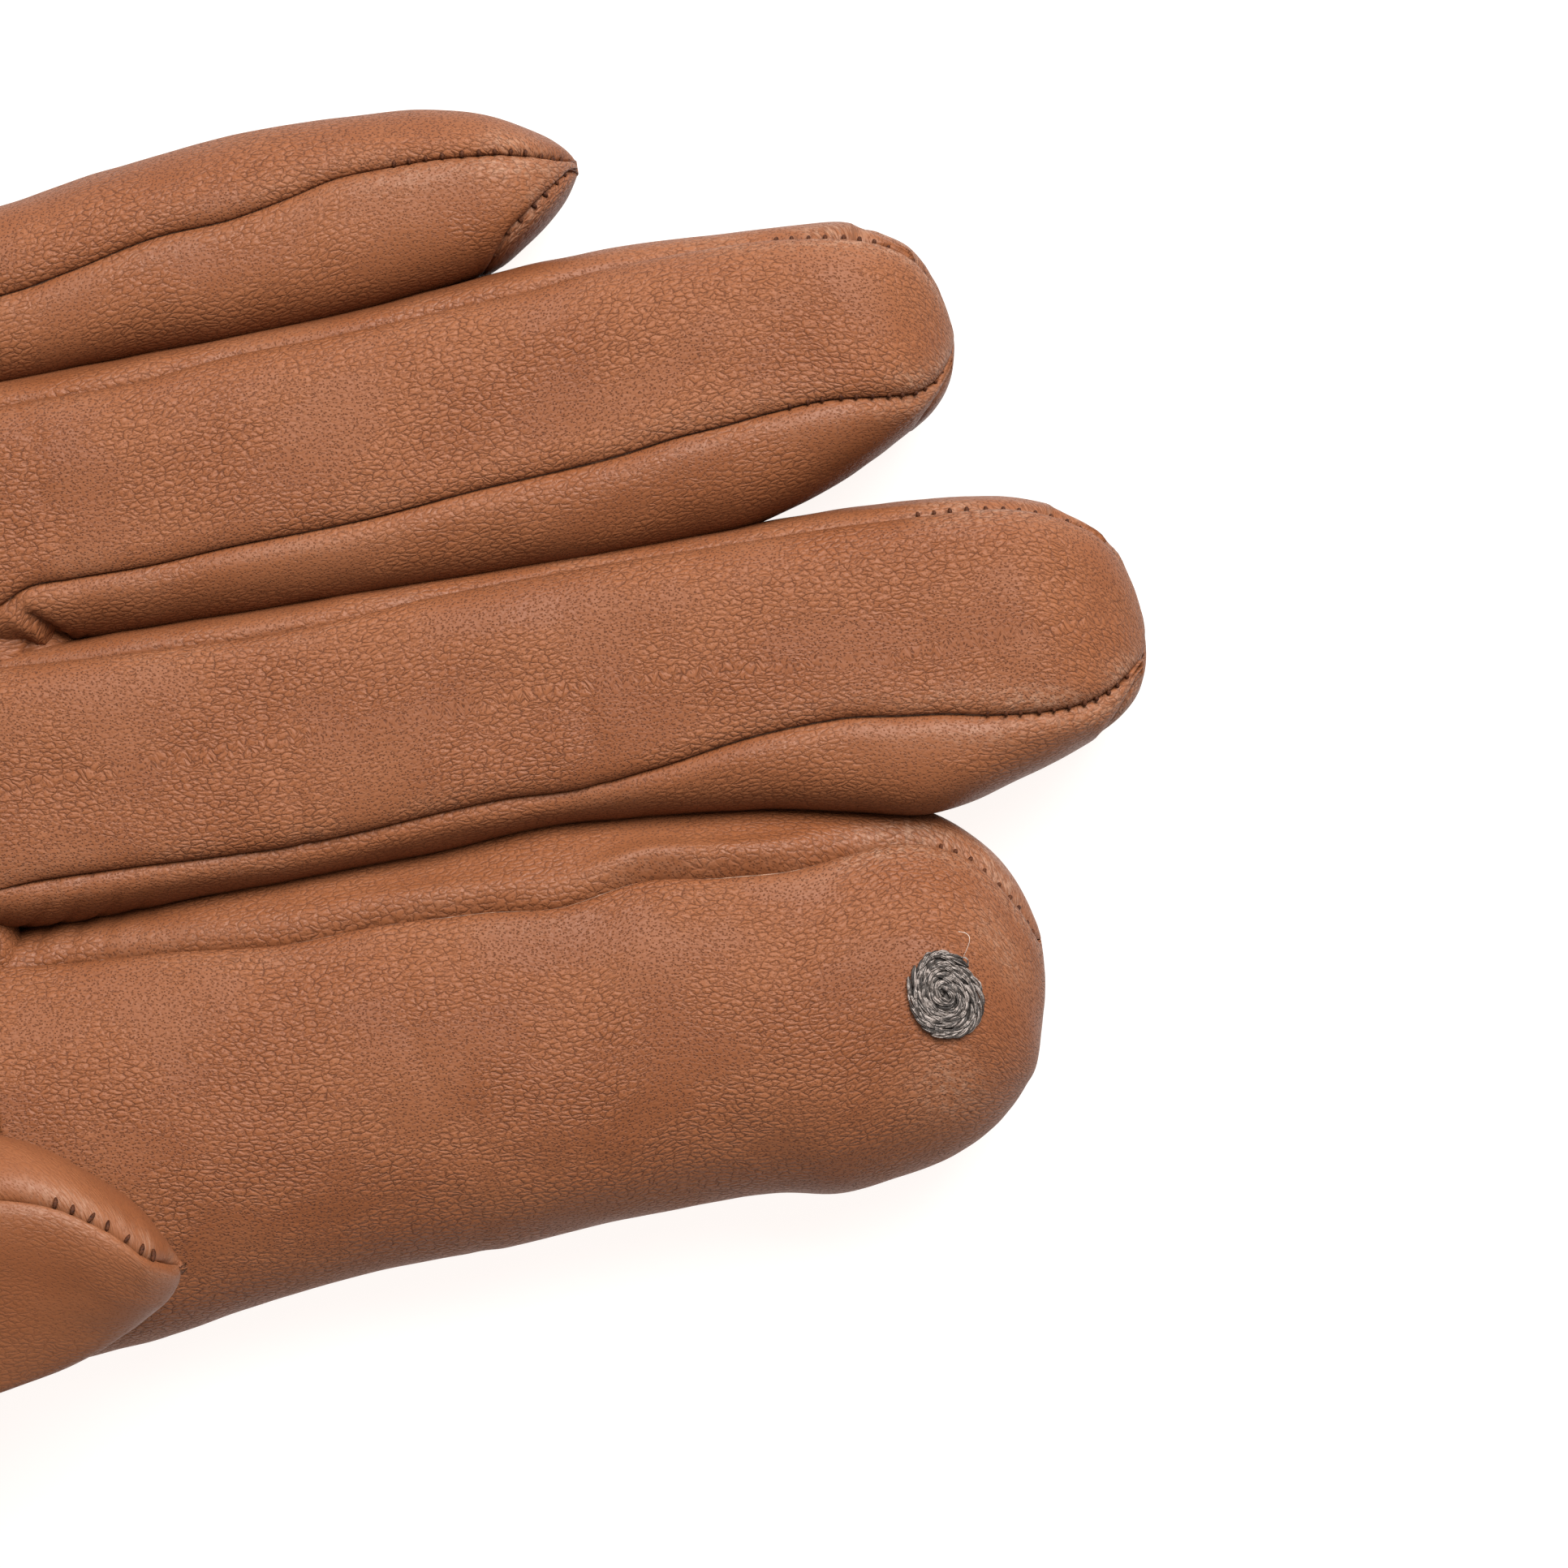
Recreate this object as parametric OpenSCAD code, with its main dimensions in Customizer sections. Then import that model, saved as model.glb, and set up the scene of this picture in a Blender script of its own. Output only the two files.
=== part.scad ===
// Leather touchscreen glove for the right hand, lying palm up with its thumb over the palm.
// +X runs from the cuff to the fingertips, +Y to the little finger and +Z out of the palm.
// The origin is on the surface that the glove lies on, below the middle of its outline.
// The fingers bend at their middle knuckles and the thumb lifts at its base.

/* [Leather and lining] */
// Thickness of the leather
leather_t = 1; // [0.8:0.1:1]
// Thickness of the knitted lining
lining_t = 1.6; // [1.2:0.1:1.8]
// Clear gap between the leather and the lining of a finger
layer_gap = 0.2; // [0.2:0.05:0.3]
// Clear gap between the two parts of a finger that bends
knuckle_gap = 0.6; // [0.5:0.1:1]
// Angle left open at each seam, in degrees round the section
seam_gap = 1; // [0.5:0.5:2]

/* [Hand] */
// Where the cuff ends
cuff_x = -125.2; // [-130:0.2:-123]
// Where the fingers start
root_x = 26; // [24:0.5:28]
// Depth of the turned-in cuff hem
hem_depth = 13; // [10:0.5:13]
// Length of one cuff stitch
stitch_length = 2.6; // [2:0.1:3]
// Number of cuff stitches on each side
stitch_count = 20; // [12:2:22]
// Width of the wrist elastic
elastic_w = 6; // [5:0.5:6]
// Length of a raised point on the back
point_length = 62; // [50:1:62]
// Width of a raised point
point_w = 1.6; // [1.2:0.1:1.6]

/* [Index finger] */
// Where the fingertip ends
index_tip_x = 112.6; // [108:0.2:116]
// Where the finger bends
index_bend_x = 58; // [54:0.5:62]
// Middle of the finger across the glove, at its root and at its tip
index_y = [-30.5, -28.4]; // [-31:0.1:-28]
// Width at its root and at its tip
index_w = [35.6, 31.4]; // [30:0.1:36]
// Height of the finger
index_h = 20.4; // [18:0.2:20.4]
// Length of the touch patch along the finger, and its width across
touch_size = [6.1, 7.7]; // [5:0.1:8]
// Middle of the touch patch
touch_at = [104.1, -29.2]; // [-30:0.1:105]

/* [Middle finger] */
// Where the fingertip ends
middle_tip_x = 125.2; // [120:0.2:128]
// Where the finger bends
middle_bend_x = 62; // [58:0.5:66]
// Middle of the finger across the glove, at its root and at its tip
middle_y = [-0.8, -0.8]; // [-1:0.1:-0.6]
// Width at its root and at its tip
middle_w = [22.6, 22.6]; // [20:0.1:22.6]
// Height of the finger
middle_h = 19.8; // [18:0.2:20.4]

/* [Ring finger] */
// Where the fingertip ends
ring_tip_x = 113.4; // [108:0.2:118]
// Where the finger bends
ring_bend_x = 58; // [54:0.5:62]
// Middle of the finger across the glove, at its root and at its tip
ring_y = [21.7, 22.7]; // [21:0.1:23]
// Width at its root and at its tip
ring_w = [21.2, 23]; // [20:0.1:23]
// Height of the finger
ring_h = 19.4; // [18:0.2:20.4]

/* [Little finger] */
// Where the fingertip ends
little_tip_x = 84.7; // [80:0.1:90]
// Where the finger bends
little_bend_x = 44; // [42:0.5:48]
// Middle of the finger across the glove, at its root and at its tip
little_y = [40, 42.2]; // [40:0.1:43]
// Width at its root and at its tip
little_w = [14.4, 14.8]; // [13:0.1:14.8]
// Height of the finger
little_h = 16.9; // [14:0.1:17]

/* [Thumb] */
// Where the thumb's tip ends
thumb_tip_x = 38.9; // [36:0.1:42]
// Where the thumb lifts
thumb_bend_x = 2; // [0:0.5:4]
// Middle of the thumb across the glove, over the finger roots' line and at its tip
thumb_y = [-39, -40.3]; // [-41:0.1:-38]
// Width at the finger roots' line and at its tip
thumb_w = [20.8, 20]; // [18:0.1:21]
// Thickness of the thumb
thumb_h = 16; // [14:0.2:16]

/* [Hidden] */

tan_leather = "#a87053";
dark_thread = "#4a2c1c";
knit = "#8a6248";
metal_yarn = "#8d8378";
elastic_white = "#d8d2c6";

// How far a flat side sinks below its section's oval where the glove lies on a surface
sag = 0.6;
// Squareness of the fingers' section, of the hand's section and of the fingertips' outline
finger_n = 2.6;
hand_n = 3;
tip_n = 2.3;
// Length of a fingertip's rounded end, and how far its last ring closes
tip_length = 11;
tip_close = 0.06;
// Angle between two columns of points round a section
step = 15;
// Offsets of the lining's two faces below the leather's outer face
lining_out = leather_t + layer_gap;
lining_in = lining_out + lining_t;
// The hand's lining leaves room for the hem and the elastic
hand_lining_out = leather_t + 0.9;
hand_lining_in = hand_lining_out + lining_t;
// Offset of whatever lies next to the leather, and the thickness of the elastic
next_to_leather = leather_t + 0.1;
elastic_t = 0.7;
// Gap between the hand and the parts joined to it
join_gap = 0.3;

// The hand's outline as [x, value] stations: its two edges, half height and lowest level
thumb_edge = [[cuff_x, -44], [-104, -41.5], [-86, -41.5], [-58, -46], [-26, -49.2], [0, -48],
    [root_x, -48.5]];
little_edge = [[cuff_x, 44.5], [-104, 42], [-86, 42], [-58, 43], [-26, 44.5], [0, 46],
    [root_x, 46.5]];
hand_half_h = [[cuff_x, 10.5], [-104, 10], [-86, 10.5], [-58, 12], [-26, 12.5], [0, 12],
    [root_x, 11]];
hand_floor = [[-108, 0.6], [-104, 0], [-58, 0], [-52, 0.8]];
hand_rows = [-108, -104, -92, -86, -72, -58, -52, -40, -26, -12, 0, 13, root_x];
hem_x = cuff_x + hem_depth;

// The thumb's root is a fan of rings that turn about a line across the palm
fan_pivot = [-9, 23];
fan_near = 1.5;
fan_far = [47, 1.5 + thumb_h];
fan_ease = 2.5;
fan_y = [-27, -35.6];
fan_half_w = [15, thumb_w[0] / 2];
fan_leather_foot = 20;
fan_lining_foot = 17.6;
fan_turn = 90;

// A digit is [bend x, tip x, [middle y], [half width], half height, [middle z]]
function flat_digit(bend, tip, y, w, h) =
    [bend, tip, y, w / 2, (h + sag) / 2, [(h - sag) / 2, (h - sag) / 2]];
INDEX = flat_digit(index_bend_x, index_tip_x, index_y, index_w, index_h);
MIDDLE = flat_digit(middle_bend_x, middle_tip_x, middle_y, middle_w, middle_h);
RING = flat_digit(ring_bend_x, ring_tip_x, ring_y, ring_w, ring_h);
LITTLE = flat_digit(little_bend_x, little_tip_x, little_y, little_w, little_h);
THUMB = [thumb_bend_x, thumb_tip_x, thumb_y, thumb_w / 2, thumb_h / 2, [30.2, 29.4]];
BEND = 0;
TIP = 1;
MID_Y = 2;
HALF_W = 3;
HALF_H = 4;
MID_Z = 5;

// Seam angles round each digit, from the +Y side over the palm: 0 is +Y and 90 is the palm
index_seams = [45, 300, 405];
middle_seams = [20, 125, 215, 325, 380];
ring_seams = [20, 120, 215, 325, 380];
little_seams = [-30, 80, 190, 330];
thumb_seams = [45, 225, 405];

function mix(a, b, k) = a + (b - a) * k;
function signed_pow(v, p) = sign(v) * pow(abs(v), p);
function oval(half_w, half_h, t, n) =
    [half_w * signed_pow(cos(t), 2 / n), half_h * signed_pow(sin(t), 2 / n)];
// Angles from one seam to the next, on the shared columns in between
function columns(a, b) = [
    a,
    for (t = [ceil((a + 2) / step) * step : step : b - 2]) t,
    b
];
turn = [for (t = [0 : step : 359]) t];

// A value of a digit that runs straight from its root to its tip
function along(digit, part, x) =
    mix(digit[part][0], digit[part][1], (x - root_x) / (digit[TIP] - root_x));
function digit_point(digit, x, close, off, t) =
    let (p = oval((along(digit, HALF_W, x) - off) * close, (digit[HALF_H] - off) * close, t, finger_n))
    [x, along(digit, MID_Y, x) + p[0], max(off, along(digit, MID_Z, x) + p[1])];
// The height of a point above the axis that the digit bends about
function above_axis(digit, off, t) =
    digit_point(digit, digit[BEND], 1, off, t)[2] - along(digit, MID_Z, digit[BEND]);
// The moving part starts on a cylinder round the bend axis
function moving_edge(digit, off, t) =
    let (h = digit[HALF_H], v = above_axis(digit, off, t))
    digit[BEND] - sqrt(max(0, h * h - v * v));
// The fixed part ends on a slightly larger one, and straight up where the digit folds back
function fixed_edge(digit, off, t) =
    let (h = digit[HALF_H] + knuckle_gap, v = min(0, above_axis(digit, off, t)))
    digit[BEND] - sqrt(h * h - v * v);

function fixed_row(digit, k, off, angles) = [
    for (t = angles)
        digit_point(digit, mix(root_x + join_gap, fixed_edge(digit, off, t), k), 1, off, t)
];
function moving_row(digit, k, off, angles) = [
    for (t = angles)
        digit_point(digit, mix(moving_edge(digit, off, t), digit[TIP] - tip_length, k), 1, off, t)
];
function tip_row(digit, u, off, angles) =
    let (close = max(tip_close, pow(1 - pow(u, tip_n), 1 / tip_n)))
    [for (t = angles) digit_point(digit, digit[TIP] - mix(tip_length, off, u), close, off, t)];

fixed_steps = [0, 0.5, 1];
moving_steps = [0, 0.15, 0.4, 0.7, 1];
tip_steps = [0.35, 0.58, 0.76, 0.88, 0.96, 1];
function fixed_skin(digit, off, angles) = [for (k = fixed_steps) fixed_row(digit, k, off, angles)];
function moving_skin(digit, off, angles) = [
    for (k = moving_steps) moving_row(digit, k, off, angles),
    for (u = tip_steps) tip_row(digit, u, off, angles)
];

function hand_point(x, off, t) =
    let (
        a = lookup(x, thumb_edge),
        b = lookup(x, little_edge),
        h = lookup(x, hand_half_h),
        p = oval((b - a) / 2 - off, h - off, t, hand_n)
    )
    [x, (a + b) / 2 + p[0], max(lookup(x, hand_floor) + off, h - sag + p[1])];
function hand_skin(rows, off, angles) = [for (x = rows) [for (t = angles) hand_point(x, off, t)]];

// A ring of the thumb's root: f is 0 in the palm and 1 across the thumb
function fan_row(f, off, angles) =
    let (
        far = mix(fan_far[1], fan_far[0], pow(1 - f, fan_ease)),
        mid = (fan_near + far) / 2,
        half = (far - fan_near) / 2 - off,
        half_w = mix(fan_half_w[0], fan_half_w[1], f) - off
    )
    [
        for (t = angles)
            let (p = oval(half_w, half, t, finger_n), r = mid + p[1])
            [
                fan_pivot[0] - r * cos(f * fan_turn),
                mix(fan_y[0], fan_y[1], f) + p[0],
                fan_pivot[1] + r * sin(f * fan_turn)
            ]
    ];
fan_steps = [for (i = [0 : 6]) i / 6];
function fan_skin(off, foot) = [
    [for (p = fan_row(0, off, turn)) [p[0], p[1], foot]],
    for (f = fan_steps) fan_row(f, off, turn),
    fixed_row(THUMB, 1, off, turn)
];

// Two skins of points made into one solid: open, a ring, or a ring that is blind at its end
module shell(outer, inner, ring = false, blind = false) {
    rows = len(outer);
    cols = len(outer[0]);
    total = rows * cols;
    last = rows - 1;
    across = ring ? cols : cols - 1;
    function at(i, j) = i * cols + j % cols;
    outside = [
        for (i = [0 : rows - 2], j = [0 : across - 1]) each [
            [at(i, j), at(i + 1, j), at(i + 1, j + 1)],
            [at(i, j), at(i + 1, j + 1), at(i, j + 1)]
        ]
    ];
    inside = [for (f = outside) [for (k = [2 : -1 : 0]) f[k] + total]];
    start = [
        for (j = [0 : across - 1])
            [at(0, j), at(0, j + 1), at(0, j + 1) + total, at(0, j) + total]
    ];
    end = [
        for (j = [0 : across - 1])
            [at(last, j + 1), at(last, j), at(last, j) + total, at(last, j + 1) + total]
    ];
    caps = [
        [for (j = [cols - 1 : -1 : 0]) at(last, j)],
        [for (j = [0 : cols - 1]) at(last, j) + total]
    ];
    sides = [
        for (i = [0 : rows - 2]) each [
            [at(i + 1, 0), at(i, 0), at(i, 0) + total, at(i + 1, 0) + total],
            [at(i, cols - 1), at(i + 1, cols - 1), at(i + 1, cols - 1) + total,
                at(i, cols - 1) + total]
        ]
    ];
    polyhedron(
        [for (row = outer) each row, for (row = inner) each row],
        concat(outside, inside, start, blind ? caps : end, ring ? [] : sides),
        convexity = 8
    );
}

// One leather panel of a digit, between two of its seams
function panel_angles(seams, i) = columns(seams[i] + seam_gap, seams[i + 1] - seam_gap);
module fixed_panel(digit, seams, i) {
    angles = panel_angles(seams, i);
    color(tan_leather) shell(fixed_skin(digit, 0, angles), fixed_skin(digit, leather_t, angles));
}
module moving_panel(digit, seams, i) {
    angles = panel_angles(seams, i);
    color(tan_leather) shell(moving_skin(digit, 0, angles), moving_skin(digit, leather_t, angles));
}
module moving_lining(digit) {
    color(knit) shell(moving_skin(digit, lining_out, turn), moving_skin(digit, lining_in, turn),
        ring = true, blind = true);
}
module fixed_lining(digit) {
    color(knit) shell(fixed_skin(digit, lining_out, turn), fixed_skin(digit, lining_in, turn),
        ring = true);
}

// The hole in the palm that the thumb's root goes through
module thumb_hole() {
    half = (fan_far[0] - fan_near) / 2;
    translate([fan_pivot[0] - fan_near - half, fan_y[0], fan_lining_foot - 5])
        linear_extrude(20)
            polygon([
                for (t = turn)
                    let (p = oval(fan_half_w[0] + join_gap, half + join_gap, t, finger_n))
                    [p[1], p[0]]
            ]);
}

module palm_panel() {
    angles = columns(seam_gap, 180 - seam_gap);
    rows = [cuff_x, hem_x, each hand_rows];
    color(tan_leather) difference() {
        shell(hand_skin(rows, 0, angles), hand_skin(rows, leather_t, angles));
        thumb_hole();
    }
}

module back_panel() {
    angles = columns(180 + seam_gap, 360 - seam_gap);
    rows = [cuff_x, hem_x, each hand_rows];
    color(tan_leather) shell(hand_skin(rows, 0, angles), hand_skin(rows, leather_t, angles));
}

// The knitted lining of the hand, with the tubes that go on into the fingers
module hand_lining() {
    rows = [hem_x + 0.5, each hand_rows];
    color(knit) difference() {
        shell(hand_skin(rows, hand_lining_out, turn), hand_skin(rows, hand_lining_in, turn),
            ring = true);
        thumb_hole();
    }
    for (digit = [INDEX, MIDDLE, RING, LITTLE]) {
        fixed_lining(digit);
    }
}

module cuff_hem() {
    rows = [cuff_x, hem_x];
    color(tan_leather) shell(hand_skin(rows, next_to_leather, turn),
        hand_skin(rows, next_to_leather + leather_t, turn), ring = true);
}

// Stitches along the hem, over the palm side and over the back's flat middle
module cuff_stitches() {
    pitch = 3.6;
    x = hem_x - 1;
    stitch_r = 0.25;
    clear = stitch_r + 0.05;
    h = lookup(x, hand_half_h);
    half_w = (lookup(x, little_edge) - lookup(x, thumb_edge)) / 2;
    low = lookup(x, hand_floor);
    function rise(y) = h * pow(1 - pow(abs(y) / half_w, hand_n), 1 / hand_n);
    function slope(y) = atan2(rise(y + stitch_length / 2) - rise(y - stitch_length / 2), stitch_length);
    for (i = [0 : stitch_count - 1]) {
        y = (i - (stitch_count - 1) / 2) * pitch;
        color(dark_thread) translate([x, y, h - sag + rise(y) + clear])
            rotate([90 + slope(y), 0, 0])
                cylinder(h = stitch_length, r = stitch_r, center = true, $fn = 16);
        if (rise(abs(y) + stitch_length) > h - sag - low) {
            color(dark_thread) translate([x, y, low - clear])
                rotate([90, 0, 0])
                    cylinder(h = stitch_length, r = stitch_r, center = true, $fn = 16);
        }
    }
}

module wrist_elastic() {
    middle = -89;
    rows = [middle - elastic_w / 2, middle + elastic_w / 2];
    angles = columns(30, 150);
    color(elastic_white) shell(hand_skin(rows, next_to_leather, angles),
        hand_skin(rows, next_to_leather + elastic_t, angles));
}

// Three raised lines of stitching down the back of the hand
module back_points() {
    end_x = 24;
    level = 0.8;
    for (y = [-24, -1, 20]) {
        color(tan_leather) intersection() {
            translate([end_x - point_length, y, level])
                rotate([0, 90, 0])
                    cylinder(h = point_length, r = point_w / 2, $fn = 32);
            translate([end_x - point_length, y - point_w, 0])
                cube([point_length, 2 * point_w, level]);
        }
    }
}

// A small leather diamond in the crotch between two fingers
module quirk(y) {
    color(tan_leather) translate([root_x + 4, y, 17.4])
        linear_extrude(0.9)
            polygon([[-3.6, 0], [0, -1.9], [3.6, 0], [0, 1.9]]);
}
module quirk_index_middle() { quirk(-12.4); }
module quirk_middle_ring() { quirk(10.8); }
module quirk_ring_little() { quirk(32.6); }

module index_root_trank() { fixed_panel(INDEX, index_seams, 0); }
module index_root_fork() { fixed_panel(INDEX, index_seams, 1); }
module middle_root_palm() { fixed_panel(MIDDLE, middle_seams, 0); }
module middle_root_fork_index_side() { fixed_panel(MIDDLE, middle_seams, 1); }
module middle_root_back() { fixed_panel(MIDDLE, middle_seams, 2); }
module middle_root_fork_ring_side() { fixed_panel(MIDDLE, middle_seams, 3); }
module ring_root_palm() { fixed_panel(RING, ring_seams, 0); }
module ring_root_fork_middle_side() { fixed_panel(RING, ring_seams, 1); }
module ring_root_back() { fixed_panel(RING, ring_seams, 2); }
module ring_root_fork_little_side() { fixed_panel(RING, ring_seams, 3); }
module little_root_palm() { fixed_panel(LITTLE, little_seams, 0); }
module little_root_fork() { fixed_panel(LITTLE, little_seams, 1); }
module little_root_back() { fixed_panel(LITTLE, little_seams, 2); }

module thumb_root() {
    color(tan_leather) shell(fan_skin(0, fan_leather_foot), fan_skin(leather_t, fan_leather_foot),
        ring = true);
}

module thumb_root_lining() {
    color(knit) shell(fan_skin(lining_out, fan_lining_foot), fan_skin(lining_in, fan_lining_foot),
        ring = true);
}

module index_trank() { moving_panel(INDEX, index_seams, 0); }
module index_fork() { moving_panel(INDEX, index_seams, 1); }
module index_lining() { moving_lining(INDEX); }

// An oval disc whose lower face is at the given height, tilted with the fingertip
module touch_disc(z, thickness, shrink) {
    tilt = 9;
    color(metal_yarn) translate([touch_at[0], touch_at[1], z])
        rotate([0, tilt, 0])
            linear_extrude(thickness)
                polygon([
                    for (t = [0 : 10 : 350])
                        [(touch_size[0] / 2 - shrink) * cos(t), (touch_size[1] / 2 - shrink) * sin(t)]
                ]);
}
touch_level = index_h - 0.1;
module touch_dot() { touch_disc(touch_level, 0.5, 0); }
// The back of the conductive stitching, inside the lining
module touch_backing() { touch_disc(touch_level - lining_in - 1.4, 0.5, 1); }

module middle_palm() { moving_panel(MIDDLE, middle_seams, 0); }
module middle_fork_index_side() { moving_panel(MIDDLE, middle_seams, 1); }
module middle_back() { moving_panel(MIDDLE, middle_seams, 2); }
module middle_fork_ring_side() { moving_panel(MIDDLE, middle_seams, 3); }
module middle_lining() { moving_lining(MIDDLE); }
module ring_palm() { moving_panel(RING, ring_seams, 0); }
module ring_fork_middle_side() { moving_panel(RING, ring_seams, 1); }
module ring_back() { moving_panel(RING, ring_seams, 2); }
module ring_fork_little_side() { moving_panel(RING, ring_seams, 3); }
module ring_lining() { moving_lining(RING); }
module little_palm() { moving_panel(LITTLE, little_seams, 0); }
module little_fork() { moving_panel(LITTLE, little_seams, 1); }
module little_back() { moving_panel(LITTLE, little_seams, 2); }
module little_lining() { moving_lining(LITTLE); }
module thumb_outer() { moving_panel(THUMB, thumb_seams, 0); }
module thumb_inner() { moving_panel(THUMB, thumb_seams, 1); }
module thumb_lining() { moving_lining(THUMB); }

palm_panel();
back_panel();
hand_lining();
cuff_hem();
cuff_stitches();
wrist_elastic();
back_points();
quirk_index_middle();
quirk_middle_ring();
quirk_ring_little();
index_root_trank();
index_root_fork();
middle_root_palm();
middle_root_fork_index_side();
middle_root_back();
middle_root_fork_ring_side();
ring_root_palm();
ring_root_fork_middle_side();
ring_root_back();
ring_root_fork_little_side();
little_root_palm();
little_root_fork();
little_root_back();
thumb_root();
thumb_root_lining();
index_trank();
index_fork();
index_lining();
touch_dot();
touch_backing();
middle_palm();
middle_fork_index_side();
middle_back();
middle_fork_ring_side();
middle_lining();
ring_palm();
ring_fork_middle_side();
ring_back();
ring_fork_little_side();
ring_lining();
little_palm();
little_fork();
little_back();
little_lining();
thumb_outer();
thumb_inner();
thumb_lining();
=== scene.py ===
"""A tan leather touchscreen glove for the right hand, lying palm up with its thumb over the palm.

Every panel is a sheet of hide laid on the section of its finger, with its edges rolled down into the
seams. Lengths are in millimetres until a mesh is made. c runs along a digit and unrolls over its tip,
and t is the angle round its section: 0 is the little-finger side and 90 is the palm side.
"""
import math

import bpy
import numpy as np
from mathutils import Matrix, Vector


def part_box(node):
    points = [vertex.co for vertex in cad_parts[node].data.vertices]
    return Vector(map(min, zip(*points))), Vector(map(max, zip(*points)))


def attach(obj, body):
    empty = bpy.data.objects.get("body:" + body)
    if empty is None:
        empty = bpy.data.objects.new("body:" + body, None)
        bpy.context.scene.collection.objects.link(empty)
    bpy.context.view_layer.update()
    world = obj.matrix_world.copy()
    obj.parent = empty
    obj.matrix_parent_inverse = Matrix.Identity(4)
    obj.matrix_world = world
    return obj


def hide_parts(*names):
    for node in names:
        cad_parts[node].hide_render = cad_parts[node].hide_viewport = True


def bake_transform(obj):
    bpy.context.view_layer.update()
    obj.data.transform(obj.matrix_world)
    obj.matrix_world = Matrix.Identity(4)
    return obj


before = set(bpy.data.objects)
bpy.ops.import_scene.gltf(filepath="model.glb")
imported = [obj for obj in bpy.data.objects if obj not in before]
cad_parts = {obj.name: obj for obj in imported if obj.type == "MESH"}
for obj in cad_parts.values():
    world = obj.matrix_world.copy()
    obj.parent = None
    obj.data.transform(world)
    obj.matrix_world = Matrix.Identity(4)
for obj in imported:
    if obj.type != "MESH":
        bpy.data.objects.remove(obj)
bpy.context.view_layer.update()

MM = 0.001
RNG = np.random.default_rng(7)


def cad(node):
    """The lowest and highest corners of a CAD node, in millimetres."""
    low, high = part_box(node)
    return np.array(low) / MM, np.array(high) / MM


ROOT_X = cad("palm_panel")[1][0]
CUFF_X = cad("palm_panel")[0][0]

# Seams and hide
HIDE_T = 0.6            # thickness of the leather
EDGE_GAP = 0.05         # from a panel's edge to the seam's middle
FLANGE = (0.35, 0.8, 1.3)   # how far the turned-in edge goes down into the seam
FLANGE_PAD = ((0, 0), (len(FLANGE), len(FLANGE)))
STITCH = 1.4            # pitch of the seam stitches
FINGER_N = 2.5          # squareness of a finger's section
HAND_N = 3.0            # squareness of the hand's section
SAG = 0.6               # how far a flat side lies below its oval


# ---------------------------------------------------------------- curves and grids

def spow(v, p):
    return np.sign(v) * np.abs(v) ** p


def ease(t):
    t = np.clip(t, 0, 1)
    return t * t * (3 - 2 * t)


def mix(a, b, k):
    return a + (b - a) * k


def bell(x, at, width, power=2):
    return np.exp(-((x - at) / width) ** power)


def unit(v):
    return v / np.maximum(np.linalg.norm(v, axis=-1, keepdims=True), 1e-9)


def curve(points):
    """A smooth function through given (x, value) points."""
    x, y = np.array(sorted(points), float).T
    h = np.diff(x)
    s = np.diff(y) / h
    m = np.concatenate(([s[0]], (s[:-1] * h[1:] + s[1:] * h[:-1]) / (h[1:] + h[:-1]), [s[-1]]))

    def at(q):
        q = np.clip(q, x[0], x[-1])
        i = np.clip(np.searchsorted(x, q, "right") - 1, 0, len(h) - 1)
        t = (q - x[i]) / h[i]
        near = y[i] * (1 + 2 * t) * (1 - t) ** 2 + m[i] * h[i] * t * (1 - t) ** 2
        far = y[i + 1] * t * t * (3 - 2 * t) + m[i + 1] * h[i] * t * t * (t - 1)
        return near + far
    return at


def noise(u, v, size_u, size_v, seed):
    """Smooth noise from -1 to 1 whose lumps are size_u by size_v."""
    lattice = np.random.default_rng(seed).uniform(-1, 1, (97, 89))
    a, b = np.broadcast_arrays(np.asarray(u) / size_u + 40, np.asarray(v) / size_v + 40)
    i, j = np.floor(a).astype(int), np.floor(b).astype(int)
    fa, fb = ease(a - i), ease(b - j)
    at = lambda p, q: lattice[p % 97, q % 89]
    low = mix(at(i, j), at(i + 1, j), fa)
    high = mix(at(i, j + 1), at(i + 1, j + 1), fa)
    return mix(low, high, fb)


def normals(p, ring=False):
    """Outward normals of a grid of points with rows along the digit and columns round it."""
    if ring:
        return normals(np.concatenate((p[:, -3:], p, p[:, :3]), axis=1))[:, 3:-3]
    along, across = np.gradient(p, axis=0), np.gradient(p, axis=1)
    return unit(np.cross(across, along))


def lengths(p, axis):
    """Distance travelled along an axis of a grid."""
    d = np.linalg.norm(np.diff(p, axis=axis), axis=2)
    zero = np.zeros_like(np.take(d, [0], axis=axis))
    return np.concatenate((zero, np.cumsum(d, axis=axis)), axis=axis)


def above_table(p):
    """Points that would go into the table, pressed up smoothly to lie on it."""
    z = p[..., 2]
    p[..., 2] = np.where(z < 0.3, 0.3 * np.exp(np.minimum(z, 0.3) / 0.3 - 1), z)
    return p


def roll(d, radius):
    """How far an edge has rolled down, from 1 at the seam to 0 at radius from it."""
    t = 1 - np.clip(d / radius, 0, 1)
    return 1 - np.sqrt(1 - np.minimum(t, 0.999) ** 2)


# ---------------------------------------------------------------- meshes

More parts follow.
